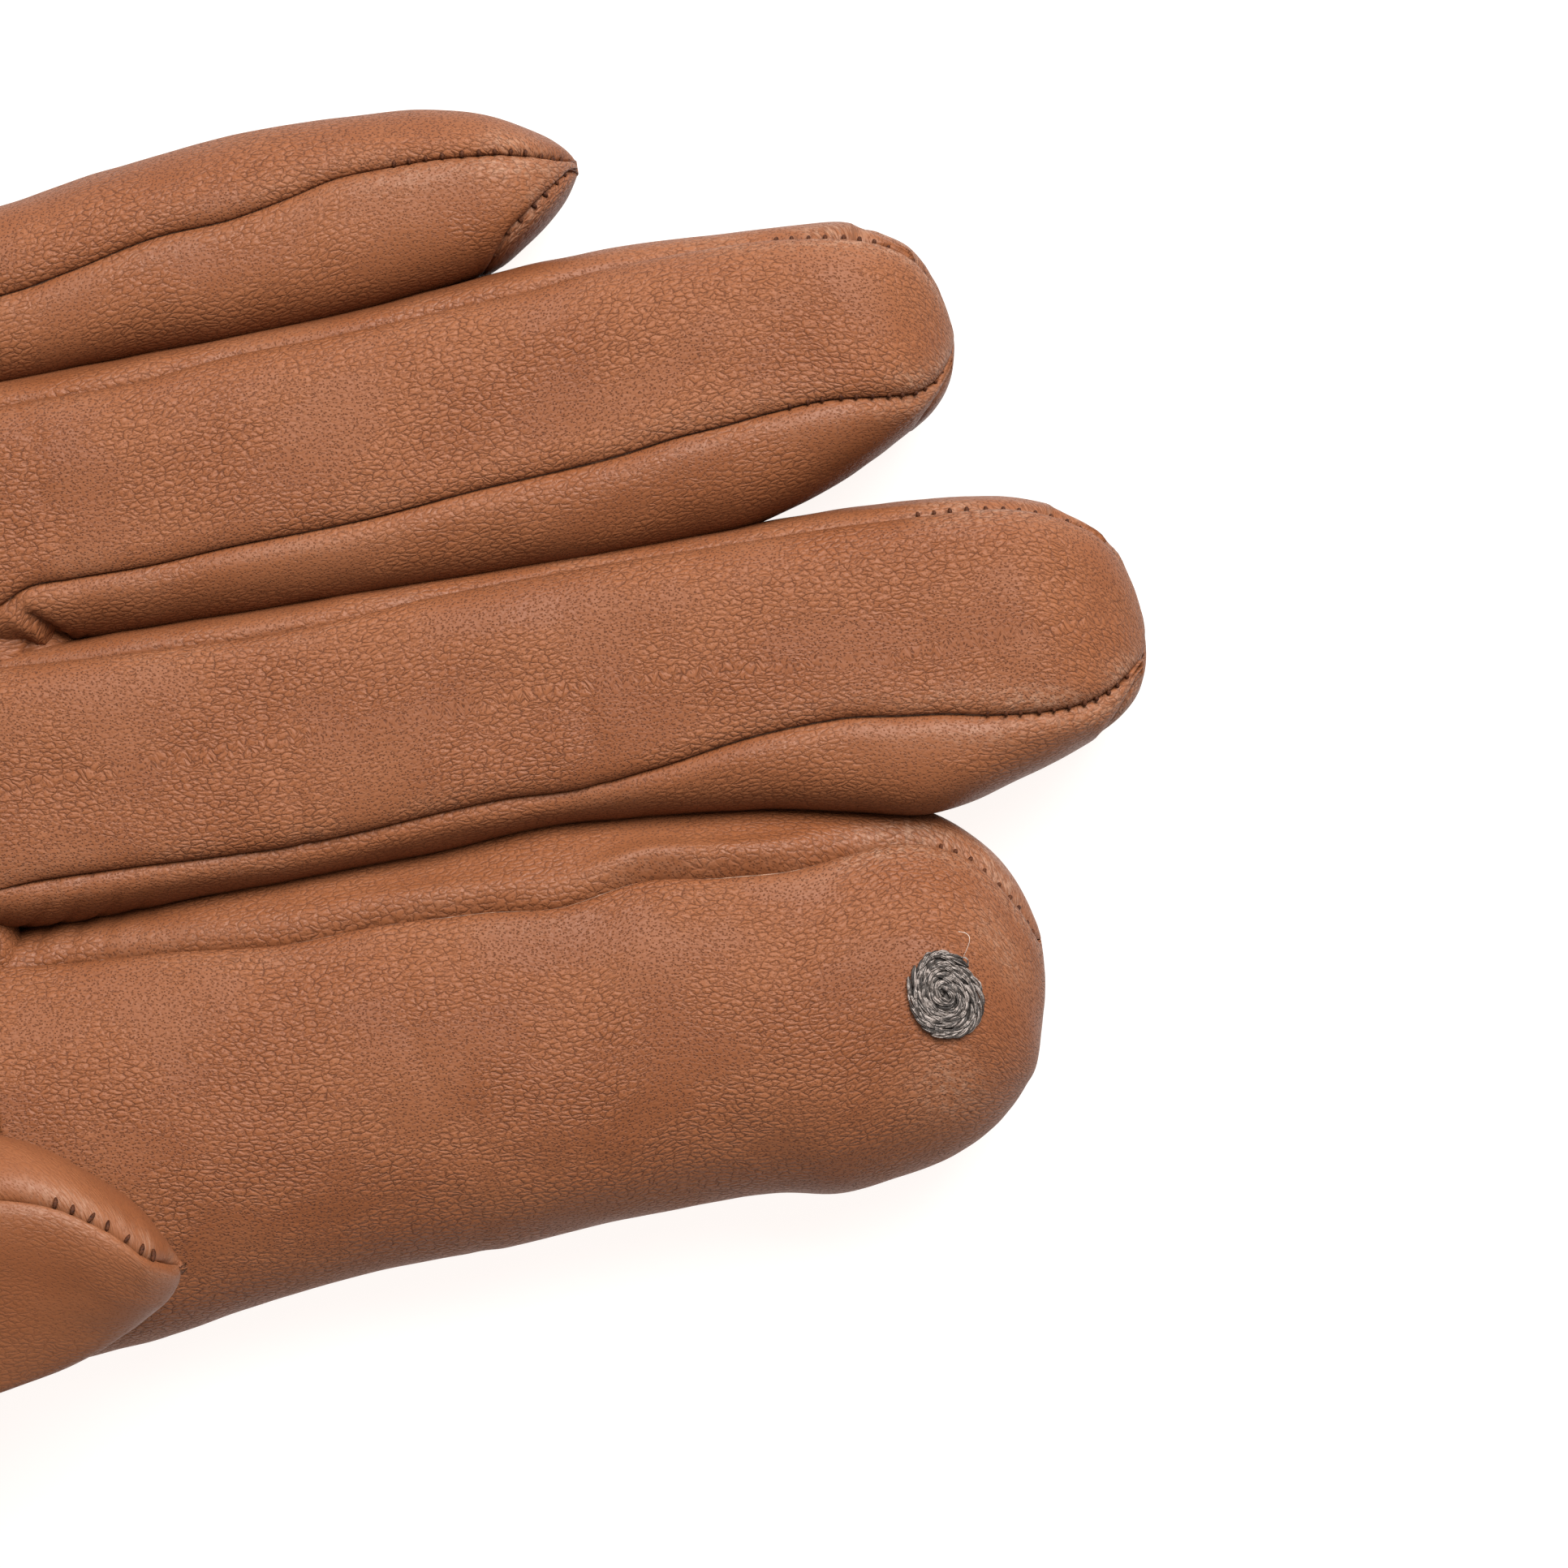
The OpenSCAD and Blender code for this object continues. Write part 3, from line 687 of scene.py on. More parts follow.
FRONT = 2          # a fingertip's closing seam runs a little off the middle of its front
INDEX_SEAMS = {
    "fork": INDEX.seam([(20, -14.6), (34, -15.2), (41, -15.6), (51, -16.5), (60, -16.2), (67, -16.5),
                        (74, -17.1), (81.6, -16.0), (88, -16.8), (94, -17.0), (98, -16.4), (102, -16.1),
                        (104.5, -16.6), (106.4, -17.4), (107.8, -18.3), (109.5, -20.2), (110.9, -22.3),
                        (111.6, -23.5), (112.1, -24.8)], 74)}
MIDDLE_SEAMS = {
    "ring": MIDDLE.seam([(20, 9.7), (32, 9.7), (37, 9.4), (44, 9.1), (53, 8.9), (60, 9.2), (68, 9.9),
                         (80, 10.3), (100, 10.4), (110, 10.1), (116, 9.4), (121, 7.3)], FRONT),
    "index": MIDDLE.seam([(20, -9.6), (31.8, -8.7), (38, -8.8), (47, -9.2), (53, -9.3), (59, -9.0),
                          (65, -8.5), (71, -8.2), (76, -8.4), (83, -7.6), (90, -6.3), (95, -5.8),
                          (101.8, -5.9), (107.5, -6.6), (112.2, -7.5), (116.1, -7.9), (119.2, -7.8),
                          (121.6, -7.1), (124, -5.6)], 180 + FRONT)}
RING_SEAMS = {
    "little": RING.seam([(20, 30.8), (35, 30.9), (46.5, 31.1), (54, 32.0), (64, 32.4), (72, 33.0),
                         (79, 33.4), (86, 34.3), (93, 34.6), (100, 34.4), (106, 33.5), (110, 31.9)], FRONT),
    "middle": RING.seam([(20, 13.2), (32.3, 13.8), (34.6, 15.0), (39, 15.3), (45.6, 15.4), (52, 15.9),
                         (62, 16.3), (72, 17.3), (84, 18.3), (90.5, 19.2), (97.5, 19.9), (103.2, 20.1),
                         (107.3, 19.6), (109.5, 19.5), (111.2, 20.1), (112.6, 21.5)], 180 + FRONT)}
LITTLE_SEAMS = {
    "palm": LITTLE.seam([(20, 38.7), (36.4, 39.4), (43, 40.6), (50, 42.2), (56.5, 42.7), (61.6, 43.8),
                         (65, 44.7), (70, 45.0), (76.5, 44.9), (81, 44.3), (84.0, 43.4)], 60)}


def fixed(*points):
    """A seam on the hidden side, set by its angle at a few places."""
    return curve(points)


INDEX_SEAMS["back"] = fixed((0, -52), (60, -50), (100, -44), (INDEX.end - 6, -38), (INDEX.end, -24))
MIDDLE_SEAMS["back_ring"] = MIDDLE.meet(fixed((0, -38), (60, -36), (140, -30)),
                                        MIDDLE_SEAMS["ring"], 112, 123)
MIDDLE_SEAMS["back_index"] = MIDDLE.meet(fixed((0, 222), (60, 224), (140, 216)),
                                         MIDDLE_SEAMS["index"], 114, 124.5)
RING_SEAMS["back_little"] = RING.meet(fixed((0, -38), (60, -36), (140, -30)),
                                      RING_SEAMS["little"], 101, 111)
RING_SEAMS["back_middle"] = RING.meet(fixed((0, 222), (60, 224), (140, 216)),
                                      RING_SEAMS["middle"], 103, 113)
LITTLE_SEAMS["outer"] = fixed((0, -26), (60, -24), (80, -14), (140, -4))
LITTLE_SEAMS["fork_back"] = LITTLE.meet(
    fixed((0, 214), (60, 212), (74, 200), (140, 190)),
    LITTLE.seam([(74, 35.6), (77.5, 37.3), (80.6, 39.4), (82.6, 41.1), (84.2, 42.6)], 100), 73, 79)


def turned(seam):
    return lambda c: seam(c) + 360


PALM_EDGE = Edge(0.8, 2.0, 0.04, 0.14)
FORK_EDGE = Edge(1.3, 2.0, 0.04, 0.10)
BACK_EDGE = Edge(0.7, 1.6, 0.05, 0.20)


# ---------------------------------------------------------------- fingers

def index_relief(c, t, da, db, p):
    """The trank's closing seam round the fingertip, and its creases."""
    v = (t - 90) / 90 * 24
    h = crease(c, v, 61, 0.10, 0.10, 0.8, 0.6) + crease(c, v, 64.5, -0.05, 0.07, 0.7, -0.5)
    off = (t - 180 - 4) / 180 * math.pi * 10
    h = h * (t < 190)
    close = ease((c - INDEX.c(104.5)) / 5)
    return h - close * 0.6 * roll(np.abs(off), 1.3) - close * 0.5 * bell(off, 0, 0.16)


def middle_relief(c, t, da, db, p):
    return (crease(c, da, 52, 0.12, 0.10, 0.7, 0.5) + crease(c, da, 54, 0.02, 0.06, 0.6, -0.4)
            + crease(c, da, 77, 0.10, 0.09, 0.8, 0.5) + crease(c, da, 79.5, -0.05, 0.05, 0.6))


def ring_relief(c, t, da, db, p):
    return crease(c, da, 36.5, 0.15, 0.10, 0.7, 0.4) + crease(c, da, 66, 0.05, 0.05, 0.8)


def fork_folds(c, t, da, db, p):
    """Folds that fan out of a crotch, where the fork starts."""
    return -bell(c, 33, 7) * 0.2 * np.clip(np.sin(c * 2.1 + da * 1.1), 0, 1) ** 2


def index_fork_relief(c, t, da, db, p):
    """The slack fork rolls over its seam twice on the way to the tip."""
    over = bell(c, 86, 9, 4) + 0.45 * bell(c, 62, 10, 4)
    lap = 0.8 * bell(db, 2.0, 1.1) - 0.1 * bell(db, 0, 0.75)
    return fork_folds(c, t, da, db, p) + over * lap


def crotch_flap(c, t, da, db, p):
    """The ring finger's fork folds over itself at the crotch: a roll, with a deep crease beside it."""
    x, y = p[..., 0], p[..., 1]
    away = (x - 33.9 - 1.02 * (14.0 - y)) / 1.43
    down = ease((15.0 - y) / 3.5) * ease((x - 29) / 3)
    fold = -1.15 * bell(away, 0, 0.34) + 0.5 * bell(away, -0.85, 0.5)
    wrinkle = -0.22 * (0.5 + 0.5 * np.cos(away * 11)) * bell(away, 0.7, 0.6)
    return down * (fold + wrinkle) + fork_folds(c, t, da, db, p) * 0.6


def finger_panel(finger, part, seams, edges, material, seed, **shape):
    """A leather panel of a finger, in place of the CAD part of that name and the root that it grows from."""
    piece = panel(f"{finger}_{part}_leather", FINGERS[finger], seams, edges, material, seed, **shape)
    bend_piece(piece, finger, "tan_leather", f"{finger}_root_{part}", f"{finger}_{part}")


def make_index():
    s = INDEX_SEAMS
    finger_panel("index", "trank", (s["fork"], turned(s["back"])), (Edge(0.7, 1.4, 0.03, 0.1), BACK_EDGE),
                 HIDE, 3, extra=index_relief)
    finger_panel("index", "fork", (s["back"], s["fork"]), (BACK_EDGE, Edge(1.8, 2.4, 0.03, 0.06)),
                 HIDE_SMOOTH, 13, bulge=0.7, extra=index_fork_relief)


def make_inner_finger(name, s, hi, lo, stops, relief, fork_relief, seed):
    """A finger with a fork on both sides. hi and lo are the neighbours that its sides face."""
    finger_panel(name, "palm", (s[hi], s[lo]), (PALM_EDGE, PALM_EDGE), HIDE, seed, extra=relief)
    finger_panel(name, "back", (s["back_" + lo], turned(s["back_" + hi])), (BACK_EDGE, BACK_EDGE), HIDE,
                 seed + 3)
    finger_panel(name, f"fork_{lo}_side", (s[lo], s["back_" + lo]), (FORK_EDGE, BACK_EDGE), HIDE_SMOOTH,
                 seed + 6, bulge=0.5, stop=stops[1], extra=fork_relief)
    finger_panel(name, f"fork_{hi}_side", (s["back_" + hi], s[hi]), (BACK_EDGE, FORK_EDGE), HIDE_SMOOTH,
                 seed + 9, bulge=0.4, stop=stops[0])


def make_little():
    s = LITTLE_SEAMS
    finger_panel("little", "palm", (s["outer"], s["palm"]), (BACK_EDGE, Edge(0.9, 1.8, 0.03, 0.2)), HIDE, 71,
                 bulge=0.3)
    finger_panel("little", "fork", (s["palm"], s["fork_back"]), (Edge(1.0, 2.2, 0.03, 0.2), BACK_EDGE),
                 HIDE_SMOOTH, 74, bulge=0.4)
    finger_panel("little", "back", (s["fork_back"], turned(s["outer"])), (BACK_EDGE, BACK_EDGE), HIDE, 77)


def make_fingers():
    make_index()
    make_inner_finger("middle", MIDDLE_SEAMS, "ring", "index", (123, 124.4), middle_relief, fork_folds, 31)
    make_inner_finger("ring", RING_SEAMS, "little", "middle", (111, 112.9), ring_relief, crotch_flap, 51)
    make_little()


# ---------------------------------------------------------------- hand

THUMB_EDGE = curve([(-125.2, -44), (-104, -41.5), (-86, -41.5), (-58, -46), (-26, -49.2), (0, -48),
                    (26, -48.5)])
LITTLE_EDGE = curve([(-125.2, 44.5), (-104, 42), (-86, 42), (-58, 43), (-26, 44.5), (0, 46), (26, 46.5)])
HAND_H = curve([(-125.2, 10.5), (-104, 10), (-86, 10.5), (-58, 12), (-26, 12.5), (0, 12), (26, 11)])
HAND_FLOOR = curve([(-108, 0.6), (-104, 0), (-58, 0), (-52, 0.8), (26, 0.8)])
SIDE_SEAM = -20         # the hand's side seam lies a little below the middle of its edge
WRIST_X = -89           # the elastic draws in the palm side here
POINTS_Y = (-24, -1, 20)    # the three lines down the back
# Folds drawn across the palm from the thumb: start, slope, depth and width
DRAG_LINES = ((-8, 0.55, 0.5, 1.6), (-1, 0.42, 0.35, 1.3), (6, 0.3, 0.25, 1.1))
VALLEY = {"palm": (15.0, 16.8, 16.8), "back": 3.2}


def hand_oval(x, t):
    a = np.radians(t)
    lo, hi, h = THUMB_EDGE(x), LITTLE_EDGE(x), HAND_H(x)
    y = (lo + hi) / 2 + (hi - lo) / 2 * spow(np.cos(a), 2 / HAND_N)
    z = h - SAG + h * spow(np.sin(a), 2 / HAND_N)
    soft = 0.35
    z = HAND_FLOOR(x) + soft * np.logaddexp(0, (z - HAND_FLOOR(x)) / soft)
    return np.stack(np.broadcast_arrays(np.asarray(x, float), y, z), axis=-1)


def even(p, share):
    """Points at given shares of the length of a line."""
    run = lengths(p[None], 1)[0]
    return np.stack([np.interp(share * run[-1], run, p[:, k]) for k in range(3)], axis=-1)


def knuckle_line():
    """The section where the hand opens into its four fingers, with flat webs between them."""
    order = (LITTLE, RING, MIDDLE, INDEX)
    palm, back = [], []
    for place, digit in enumerate(order):
        t = np.linspace(-26 if place == 0 else 0, 180, 240)
        p = digit.point(ROOT_X, t)
        low = [VALLEY["palm"][k] if 0 <= k < 3 else -9 for k in (place - 1, place)]
        palm.append(p[p[:, 2] > np.where(t < 90, low[0], low[1])])
        t = np.linspace(180, 334 if place == 0 else 360, 240)
        p = digit.point(ROOT_X, t)
        high = [VALLEY["back"] if inside else 99 for inside in (place < 3, place > 0)]
        back.append(p[p[:, 2] < np.where(t < 270, high[0], high[1])])
    return np.concatenate(palm + back[::-1])


KNUCKLES = knuckle_line()


def hand_surface(x, share):
    """The hand's section at x, which turns into the four fingers' section at their roots."""
    own = even(hand_oval(x, np.linspace(SIDE_SEAM, SIDE_SEAM + 360, 900)), share)
    w = ease((x + 6) / (ROOT_X + 6))
    p = mix(own, even(KNUCKLES, share), w)
    p[:, 0] = x
    return p


THUMB_BASE = {"x": -33.25, "y": -27, "half_x": 22.75, "half_y": 15}
THUMB_HOLE = -2.2       # the palm is cut out this far inside the edge of the thumb's base


def from_thumb(p):
    """Distance outside the edge of the thumb's base, for points on the palm."""
    b = THUMB_BASE
    r = np.abs((p[..., 0] - b["x"]) / b["half_x"]) ** FINGER_N
    r = (r + np.abs((p[..., 1] - b["y"]) / b["half_y"]) ** FINGER_N) ** (1 / FINGER_N)
    return np.where(p[..., 2] > 8, (r - 1) * 17, 40)


def hand_relief(p, run, girth):
    """Height of the hand's skin above its section: gathers, drag lines, tucks and slack."""
    x, y, z = p[..., 0], p[..., 1], p[..., 2]
    calm = ease((20 - x) / 16)
    palm = ease((z - 11) / 6)
    h = 0.30 * noise(x, run, 26, 17, 101) + 0.13 * noise(x, run, 7, 6, 102)
    gather = (0.5 + 0.5 * np.cos(2 * math.pi * run / 4.4 + 1.2 * noise(x, run, 9, 9, 103)))
    gather = gather * bell(x, WRIST_X, 6 + 2.5 * noise(0 * x, run, 1, 5, 104))
    h = h - palm * (0.95 * gather + 0.5 * bell(x, WRIST_X, 2.6))
    for start, slope, depth, width in DRAG_LINES:
        away = np.clip((y + 30) / 12, 0, 1) * np.clip((34 - y) / 30, 0, 1)
        line = start + slope * (y - 8) - noise(y, 0, 9, 1, 105)
        h = h - palm * away * depth * bell(x, line, width)
    tuck = sum(bell(y, at, 1.5) for at in POINTS_Y)
    h = h - (1 - palm) * 0.35 * tuck * ease((x + 42) / 6)
    gap = from_thumb(p)
    h = h - 1.1 * roll(np.abs(gap), 2.6)
    spread = np.exp(-np.clip(gap, 0, None) / 7) * np.clip(gap, 0, 1)
    angle = np.arctan2(p[..., 1] - THUMB_BASE["y"], p[..., 0] - THUMB_BASE["x"])
    h = h - palm * 0.35 * spread * np.clip(np.sin(angle * 17 + 2 * noise(x, y, 8, 8, 106)), 0, 1) ** 2
    edge = np.minimum(run, girth - run)
    h = h * calm - 0.75 * roll(edge, 1.6) * ease((ROOT_X - x) / 6 + 0.4)
    return h


def make_hand():
    """One piece of hide folded round the thumb's side of the hand and sewn down the other side."""
    under = {0.6: 0.04, 1.2: 0.15, 1.8: 0.35}
    rows = np.concatenate((np.arange(CUFF_X + 0.8, ROOT_X - 0.4, 0.8), [ROOT_X]))
    rows = np.concatenate((rows, [ROOT_X + k for k in under]))
    u = np.linspace(0, 1, 290)
    share = 0.0004 + 0.9992 * mix(u, u - np.sin(2 * math.pi * u) / (2 * math.pi), 0.55)
    p = np.stack([hand_surface(x, share) for x in rows])
    run = lengths(p, 1)
    h = hand_relief(p, run, run[:, -1:])
    h[-len(under):] -= np.array(list(under.values()))[:, None]
    inside = from_thumb(p) > THUMB_HOLE
    n = normals(p)
    p = above_table(p + n * h[..., None])
    run, keep = (np.pad(a, FLANGE_PAD, mode="edge") for a in (run, inside))
    uv = hide_uv(rows[:, None], run + 300)
    piece = sheet("hand_leather", with_flanges(p, n), HIDE, uv, keep=keep)
    ride_piece(piece, "hand", "tan_leather", "palm_panel", "back_panel")


def cuff_ring(profile, count=220):
    """A ring of hide round the cuff, through (x, depth below the outer face) points."""
    share = np.linspace(0, 1, count, endpoint=False)
    rows = []
    for x, depth in profile:
        section = np.stack([hand_surface(x, share)])
        p = np.concatenate([section, section + (1, 0, 0)])
        n = normals(p, ring=True)[0]
        rows.append(p[0] - n * depth)
    return np.stack(rows)


def make_hem():
    """The cuff's edge, folded over a round lip and turned in to the depth of the hem."""
    inner_x = cad("cuff_hem")[1][0]
    lip, deep = CUFF_X + 0.8, 1.5
    profile = [(x, deep) for x in np.linspace(inner_x, lip, 12)]
    profile += [(lip - 0.75 * math.sin(a), 0.75 + 0.75 * math.cos(a)) for a in np.linspace(0.3, math.pi, 8)]
    p = cuff_ring(profile)
    run = lengths(p, 0)
    piece = sheet("cuff_hem_leather", p, HIDE, hide_uv(run - 200, np.arange(p.shape[1]) * 0.85), ring=True)
    ride_piece(piece, "hand", "tan_leather", "cuff_hem")


def make_hem_stitches():
    """A line of stitches right round the cuff that holds the hem."""
    x = cad("cuff_hem")[1][0] - 1
    count, pitch, shown, reach = 58, 12, 9, 0.34
    line = cuff_ring([(x, 0.0)], count * pitch)[0]
    line = np.concatenate((line, line[:pitch]))
    tubes = []
    for k in range(count):
        part = line[k * pitch:k * pitch + shown]
        out = -unit(np.cross((1, 0, 0), np.gradient(part, axis=0)))
        lift = reach * np.sin(np.linspace(0, math.pi, shown)) ** 0.6 - 0.22
        centre = THUMB_EDGE(x) / 2 + LITTLE_EDGE(x) / 2
        sign = np.sign(((part - (x, centre, HAND_H(x))) * out).sum(axis=1, keepdims=True))
        tubes.append(tube(part + sign * out * lift[:, None], reach * 0.7, 8))
    ride_piece(threads("cuff_stitching", tubes, THREAD), "hand", "sewing_thread", "cuff_stitches")


def make_back_points():
    """Three raised and stitched lines down the back of the hand."""
    tubes, ridges = [], []
    low, high = cad("back_points")
    for y in POINTS_Y:
        x = np.linspace(low[0], high[0], 80)
        path = np.stack((x, y + 0.12 * noise(x, y, 6, 1, 107), np.full(80, 0.62)), axis=1)
        fat = 0.72 * np.clip(np.minimum(x - low[0], high[0] - x) / 2.5, 0.05, 1) ** 0.5
        fat = fat * (1 - 0.09 * (0.5 + 0.5 * np.cos(2 * math.pi * x / 1.8)))
        ridges.append(tube(path, fat, 12, squash=0.8))
        for at in np.arange(low[0] + 1, high[0] - 1, 1.8):
            for side in (-1, 1):
                q = np.array([(at + d, y + side * 0.62, 0.34) for d in np.linspace(-0.55, 0.55, 5)])
                tubes.append(tube(q, (0.04, 0.13, 0.15, 0.13, 0.04), 6))
    ride_piece(threads("back_point_ridges", ridges, HIDE_SMOOTH), "hand", "tan_leather", "back_points")
    sew("back_point_stitching", tubes, "hand")


# ---------------------------------------------------------------- thumb

FAN_X, FAN_Z = -9, 23
FAN_NEAR, FAN_FAR = 1.5, (47, 17.5)
FAN_Y, FAN_W = (-27, -35.6), (15, 10.4)
FAN_RUN = 42            # what the fan's quarter turn counts as along the thumb
FOOT = 3


# The palm side of the thumb falls away from a ridge along its seam, at this y
THUMB_RIDGE = curve([(-9, -31.4), (25, -32.6), (32, -35), (38, -40)])


class ThumbDigit(Digit):
    """A digit whose root fans out and turns down into the palm."""

    def opening(self, c):
        return 1.0

    def point(self, c, t):
        straight = super().point(np.maximum(c, FAN_X), t)
        fall = np.clip(THUMB_RIDGE(c) - straight[..., 1], 0, None) * np.clip(np.sin(np.radians(t)), 0, 1)
        straight[..., 2] -= 0.34 * ease((c - FAN_X) / 12) * fall
        f = np.clip(1 + (c - FAN_X) / FAN_RUN, 0, 1)
        far = mix(FAN_FAR[1], FAN_FAR[0], (1 - f) ** 2.5)
        a = np.radians(t)
        r = (FAN_NEAR + far) / 2 + (far - FAN_NEAR) / 2 * spow(np.sin(a), 2 / FINGER_N)
        y = mix(*FAN_Y, f) + mix(*FAN_W, f) * spow(np.cos(a), 2 / FINGER_N)
        sink = np.clip(FAN_X - FAN_RUN - c, 0, None)
        x = FAN_X - r * np.cos(f * math.pi / 2)
        z = FAN_Z + r * np.sin(f * math.pi / 2) - sink
        fan = np.stack(np.broadcast_arrays(x, y, z), axis=-1)
        return np.where((c < FAN_X)[..., None], fan, straight)


THUMB = ThumbDigit(
    tip=(39.6, -41.0), cap=8.5, half_h=8, square=curve([(-9, FINGER_N), (18, 2.0)]),
    mid_z=[(-9, 32.5), (2, 31.69), (26, 30.2), (39, 29.4)],
    hi=[(-9, -25.2), (6, -25.4), (20, -26.6), (25.6, -28.0), (28.5, -29.0), (31.2, -30.5), (33.8, -32.6),
        (36, -34.7), (37.8, -37.0), (39.1, -39.4)],
    lo=[(-9, -46), (2, -47.4), (12, -48.8), (22.3, -49.0), (30, -47.5), (35.2, -45.4), (37.8, -43.8),
        (39.1, -42.5)])
THUMB_TOP = THUMB.seam([(-9, -31.4), (4, -31.3), (14, -31.5), (24.8, -32.6), (28.7, -33.4), (32.5, -35.0),
                        (35.5, -37.1), (38.2, -39.8)], 40)
THUMB_BOTTOM = curve([(-60, 225), (20, 228), (60, 225)])


def thumb_outer_relief(c, t, da, db, p):
    """The outer panel is flat from the seam down to the thumb's side."""
    side = np.clip((t - THUMB_TOP(c)) / (180 - THUMB_TOP(c)), 0, 1)
    flat = 0.35 * np.sin(math.pi * side ** 0.8) * ease((THUMB.end - c) / 9) * ease((c + 20) / 20)
    return thumb_relief(c, t, da, db, p) - flat


def thumb_relief(c, t, da, db, p):
    """The base rolls in where it is sewn into the palm, and creases where it turns over."""
    base = FAN_X - FAN_RUN
    h = -0.9 * roll(np.clip(c - base, 0, None), 2.4)
    for at, slope, depth, width in ((-30, 0.35, 0.35, 1.2), (-22, 0.2, 0.3, 1.0), (-13, -0.1, 0.25, 0.9)):
        h = h + crease(c, da - 10, at, slope, depth, width, 0.6)
    return h


def make_thumb():
    thick = {"start": FAN_X - FAN_RUN - FOOT, "spacing": 0.55}
    bend_piece(panel("thumb_outer_leather", THUMB, (THUMB_TOP, THUMB_BOTTOM),
                     (Edge(0.8, 1.7, 0.02, 0.08), BACK_EDGE), HIDE_THUMB, 81, extra=thumb_outer_relief,
                     **thick),
               "thumb", "tan_leather", "thumb_root", "thumb_outer")
    bend_piece(panel("thumb_inner_leather", THUMB, (THUMB_BOTTOM, turned(THUMB_TOP)),
                     (BACK_EDGE, Edge(1.4, 2.3, 0.02, 0.12)), HIDE_THUMB, 85, bulge=0.2,
                     extra=thumb_relief, **thick),
               "thumb", "tan_leather", "thumb_inner")


# ---------------------------------------------------------------- lining

def lining_tube(name, digit, start, depth=1.0):
    """The knitted tube inside a digit."""
    c = np.concatenate((np.arange(start, digit.cap_x, 1.4), np.linspace(digit.cap_x, digit.end - 2, 12)))
    t = np.linspace(0, 360, 48, endpoint=False)
    p = digit.point(c[:, None], t[None])
    p = p - normals(p, ring=True) * depth
    run = lengths(p, 1)
    return sheet(name, p, KNIT, hide_uv(c[:, None], run), thickness=0.6, ring=True)


def make_linings():
    for name, digit in FINGERS.items():
        piece = lining_tube(name + "_knit", digit, ROOT_X - 6)
        bend_piece(piece, name, "knit_lining", name + "_lining")
    piece = lining_tube("thumb_knit", THUMB, FAN_X - FAN_RUN - FOOT)
    bend_piece(piece, "thumb", "knit_lining", "thumb_root_lining", "thumb_lining")
    inner_x = cad("hand_lining")[0][0]
    rows = np.arange(inner_x, ROOT_X, 1.6)
    p = cuff_ring([(x, 2.4 + 0.2 * math.sin(x * 0.9) + 1.1 * bell(x, WRIST_X, 7)) for x in rows], 200)
    run = lengths(p, 1)
    p = p + normals(p, ring=True) * (0.25 * noise(p[..., 0], run, 5, 5, 108))[..., None]
    keep = from_thumb(p) > THUMB_HOLE
    piece = sheet("hand_knit", p, KNIT, hide_uv(rows[:, None], run), thickness=0.7, ring=True, keep=keep)
    ride_piece(piece, "hand", "knit_lining", "hand_lining")


# ---------------------------------------------------------------- crotches

QUIRK_HALF = 3.6        # half a gusset's width
QUIRK_LOW = 3.2         # its lower end


def quirk_crease(x, across, z, middle, seed):
    """How deep a gusset's short slanting crease is, with its slack. Only the top half has the crease."""
    away = np.abs((ROOT_X + 7.4 - x) - 0.9 * (across - 1.0)) / 1.35
    dip = 0.8 * bell(away, 0, 0.2) * np.clip(1 - np.abs(across - 1.0) / 1.3, 0, 1) ** 0.3
    return dip * (z > middle) - 0.12 * noise(x, across, 2.0, 1.3, seed)


def quirk_stitch(at):
    """The stitch that shows where a gusset goes into its seam."""
    path = [at + (0.7 * d, 0.5 * d, 0.15 - 0.9 * d * d) for d in np.linspace(-0.5, 0.5, 6)]
    return tube(path, (0.08, 0.17, 0.2, 0.2, 0.17, 0.08), 7)


def make_quirk(name, y, top, front, skew):
    """A small gusset between two fingers: it runs level from the palm, then turns down the crotch."""
    middle, half = (top + QUIRK_LOW) / 2, (top - QUIRK_LOW) / 2
    rows, cols = 70, 31
    u = np.linspace(0.02, 0.98, rows)[:, None]
    v = np.linspace(-1, 1, cols)[None]
    across = QUIRK_HALF * v
    reach = front - ROOT_X - skew * v
    x = ROOT_X - 0.6 + reach * np.sin(math.pi * u) ** 0.9
    z = middle + half * spow(np.cos(math.pi * u), 0.5) - 0.15 - 0.9 * v * v * np.cos(math.pi * u)
    p = np.stack(np.broadcast_arrays(x, y + across, z), axis=-1)
    if normals(p)[rows // 2, cols // 2, 0] < 0:
        p = p[:, ::-1]
    dip = quirk_crease(x, across, z, middle, int(front * 10))
    p = p - normals(p) * (dip * np.sin(math.pi * u) ** 0.3)[..., None]
    piece = sheet(name + "_leather", p, HIDE_SMOOTH, hide_uv(u * 20, across + 40))
    ride_piece(piece, "hand", "tan_leather", name)
    stitch = quirk_stitch(np.array([ROOT_X + 6.8, y + 1.7, top - 0.9]))
    sew(name + "_stitching", [stitch], "hand")


def make_quirks():
    make_quirk("quirk_index_middle", -12.1, VALLEY["palm"][2], 30.2, 0.6)
    make_quirk("quirk_middle_ring", 10.9, VALLEY["palm"][1], 39.0, 1.4)
    make_quirk("quirk_ring_little", 32.5, VALLEY["palm"][0], 31.0, 0.5)


# ---------------------------------------------------------------- stitches in the seams

def seam_points(digit, seam, c, depth):
    """Points down in a seam, with the directions across it and out of it."""
    here = digit.point(c, seam(c))
    across = digit.point(c, seam(c) + 1) - digit.point(c, seam(c) - 1)
    along = digit.point(c + 0.1, seam(c + 0.1)) - digit.point(c - 0.1, seam(c - 0.1))
    across, along = unit(across), unit(along)
    across = unit(across - along * (across * along).sum(axis=-1, keepdims=True))
    out = unit(np.cross(across, along))
    return here - out * depth, across, out


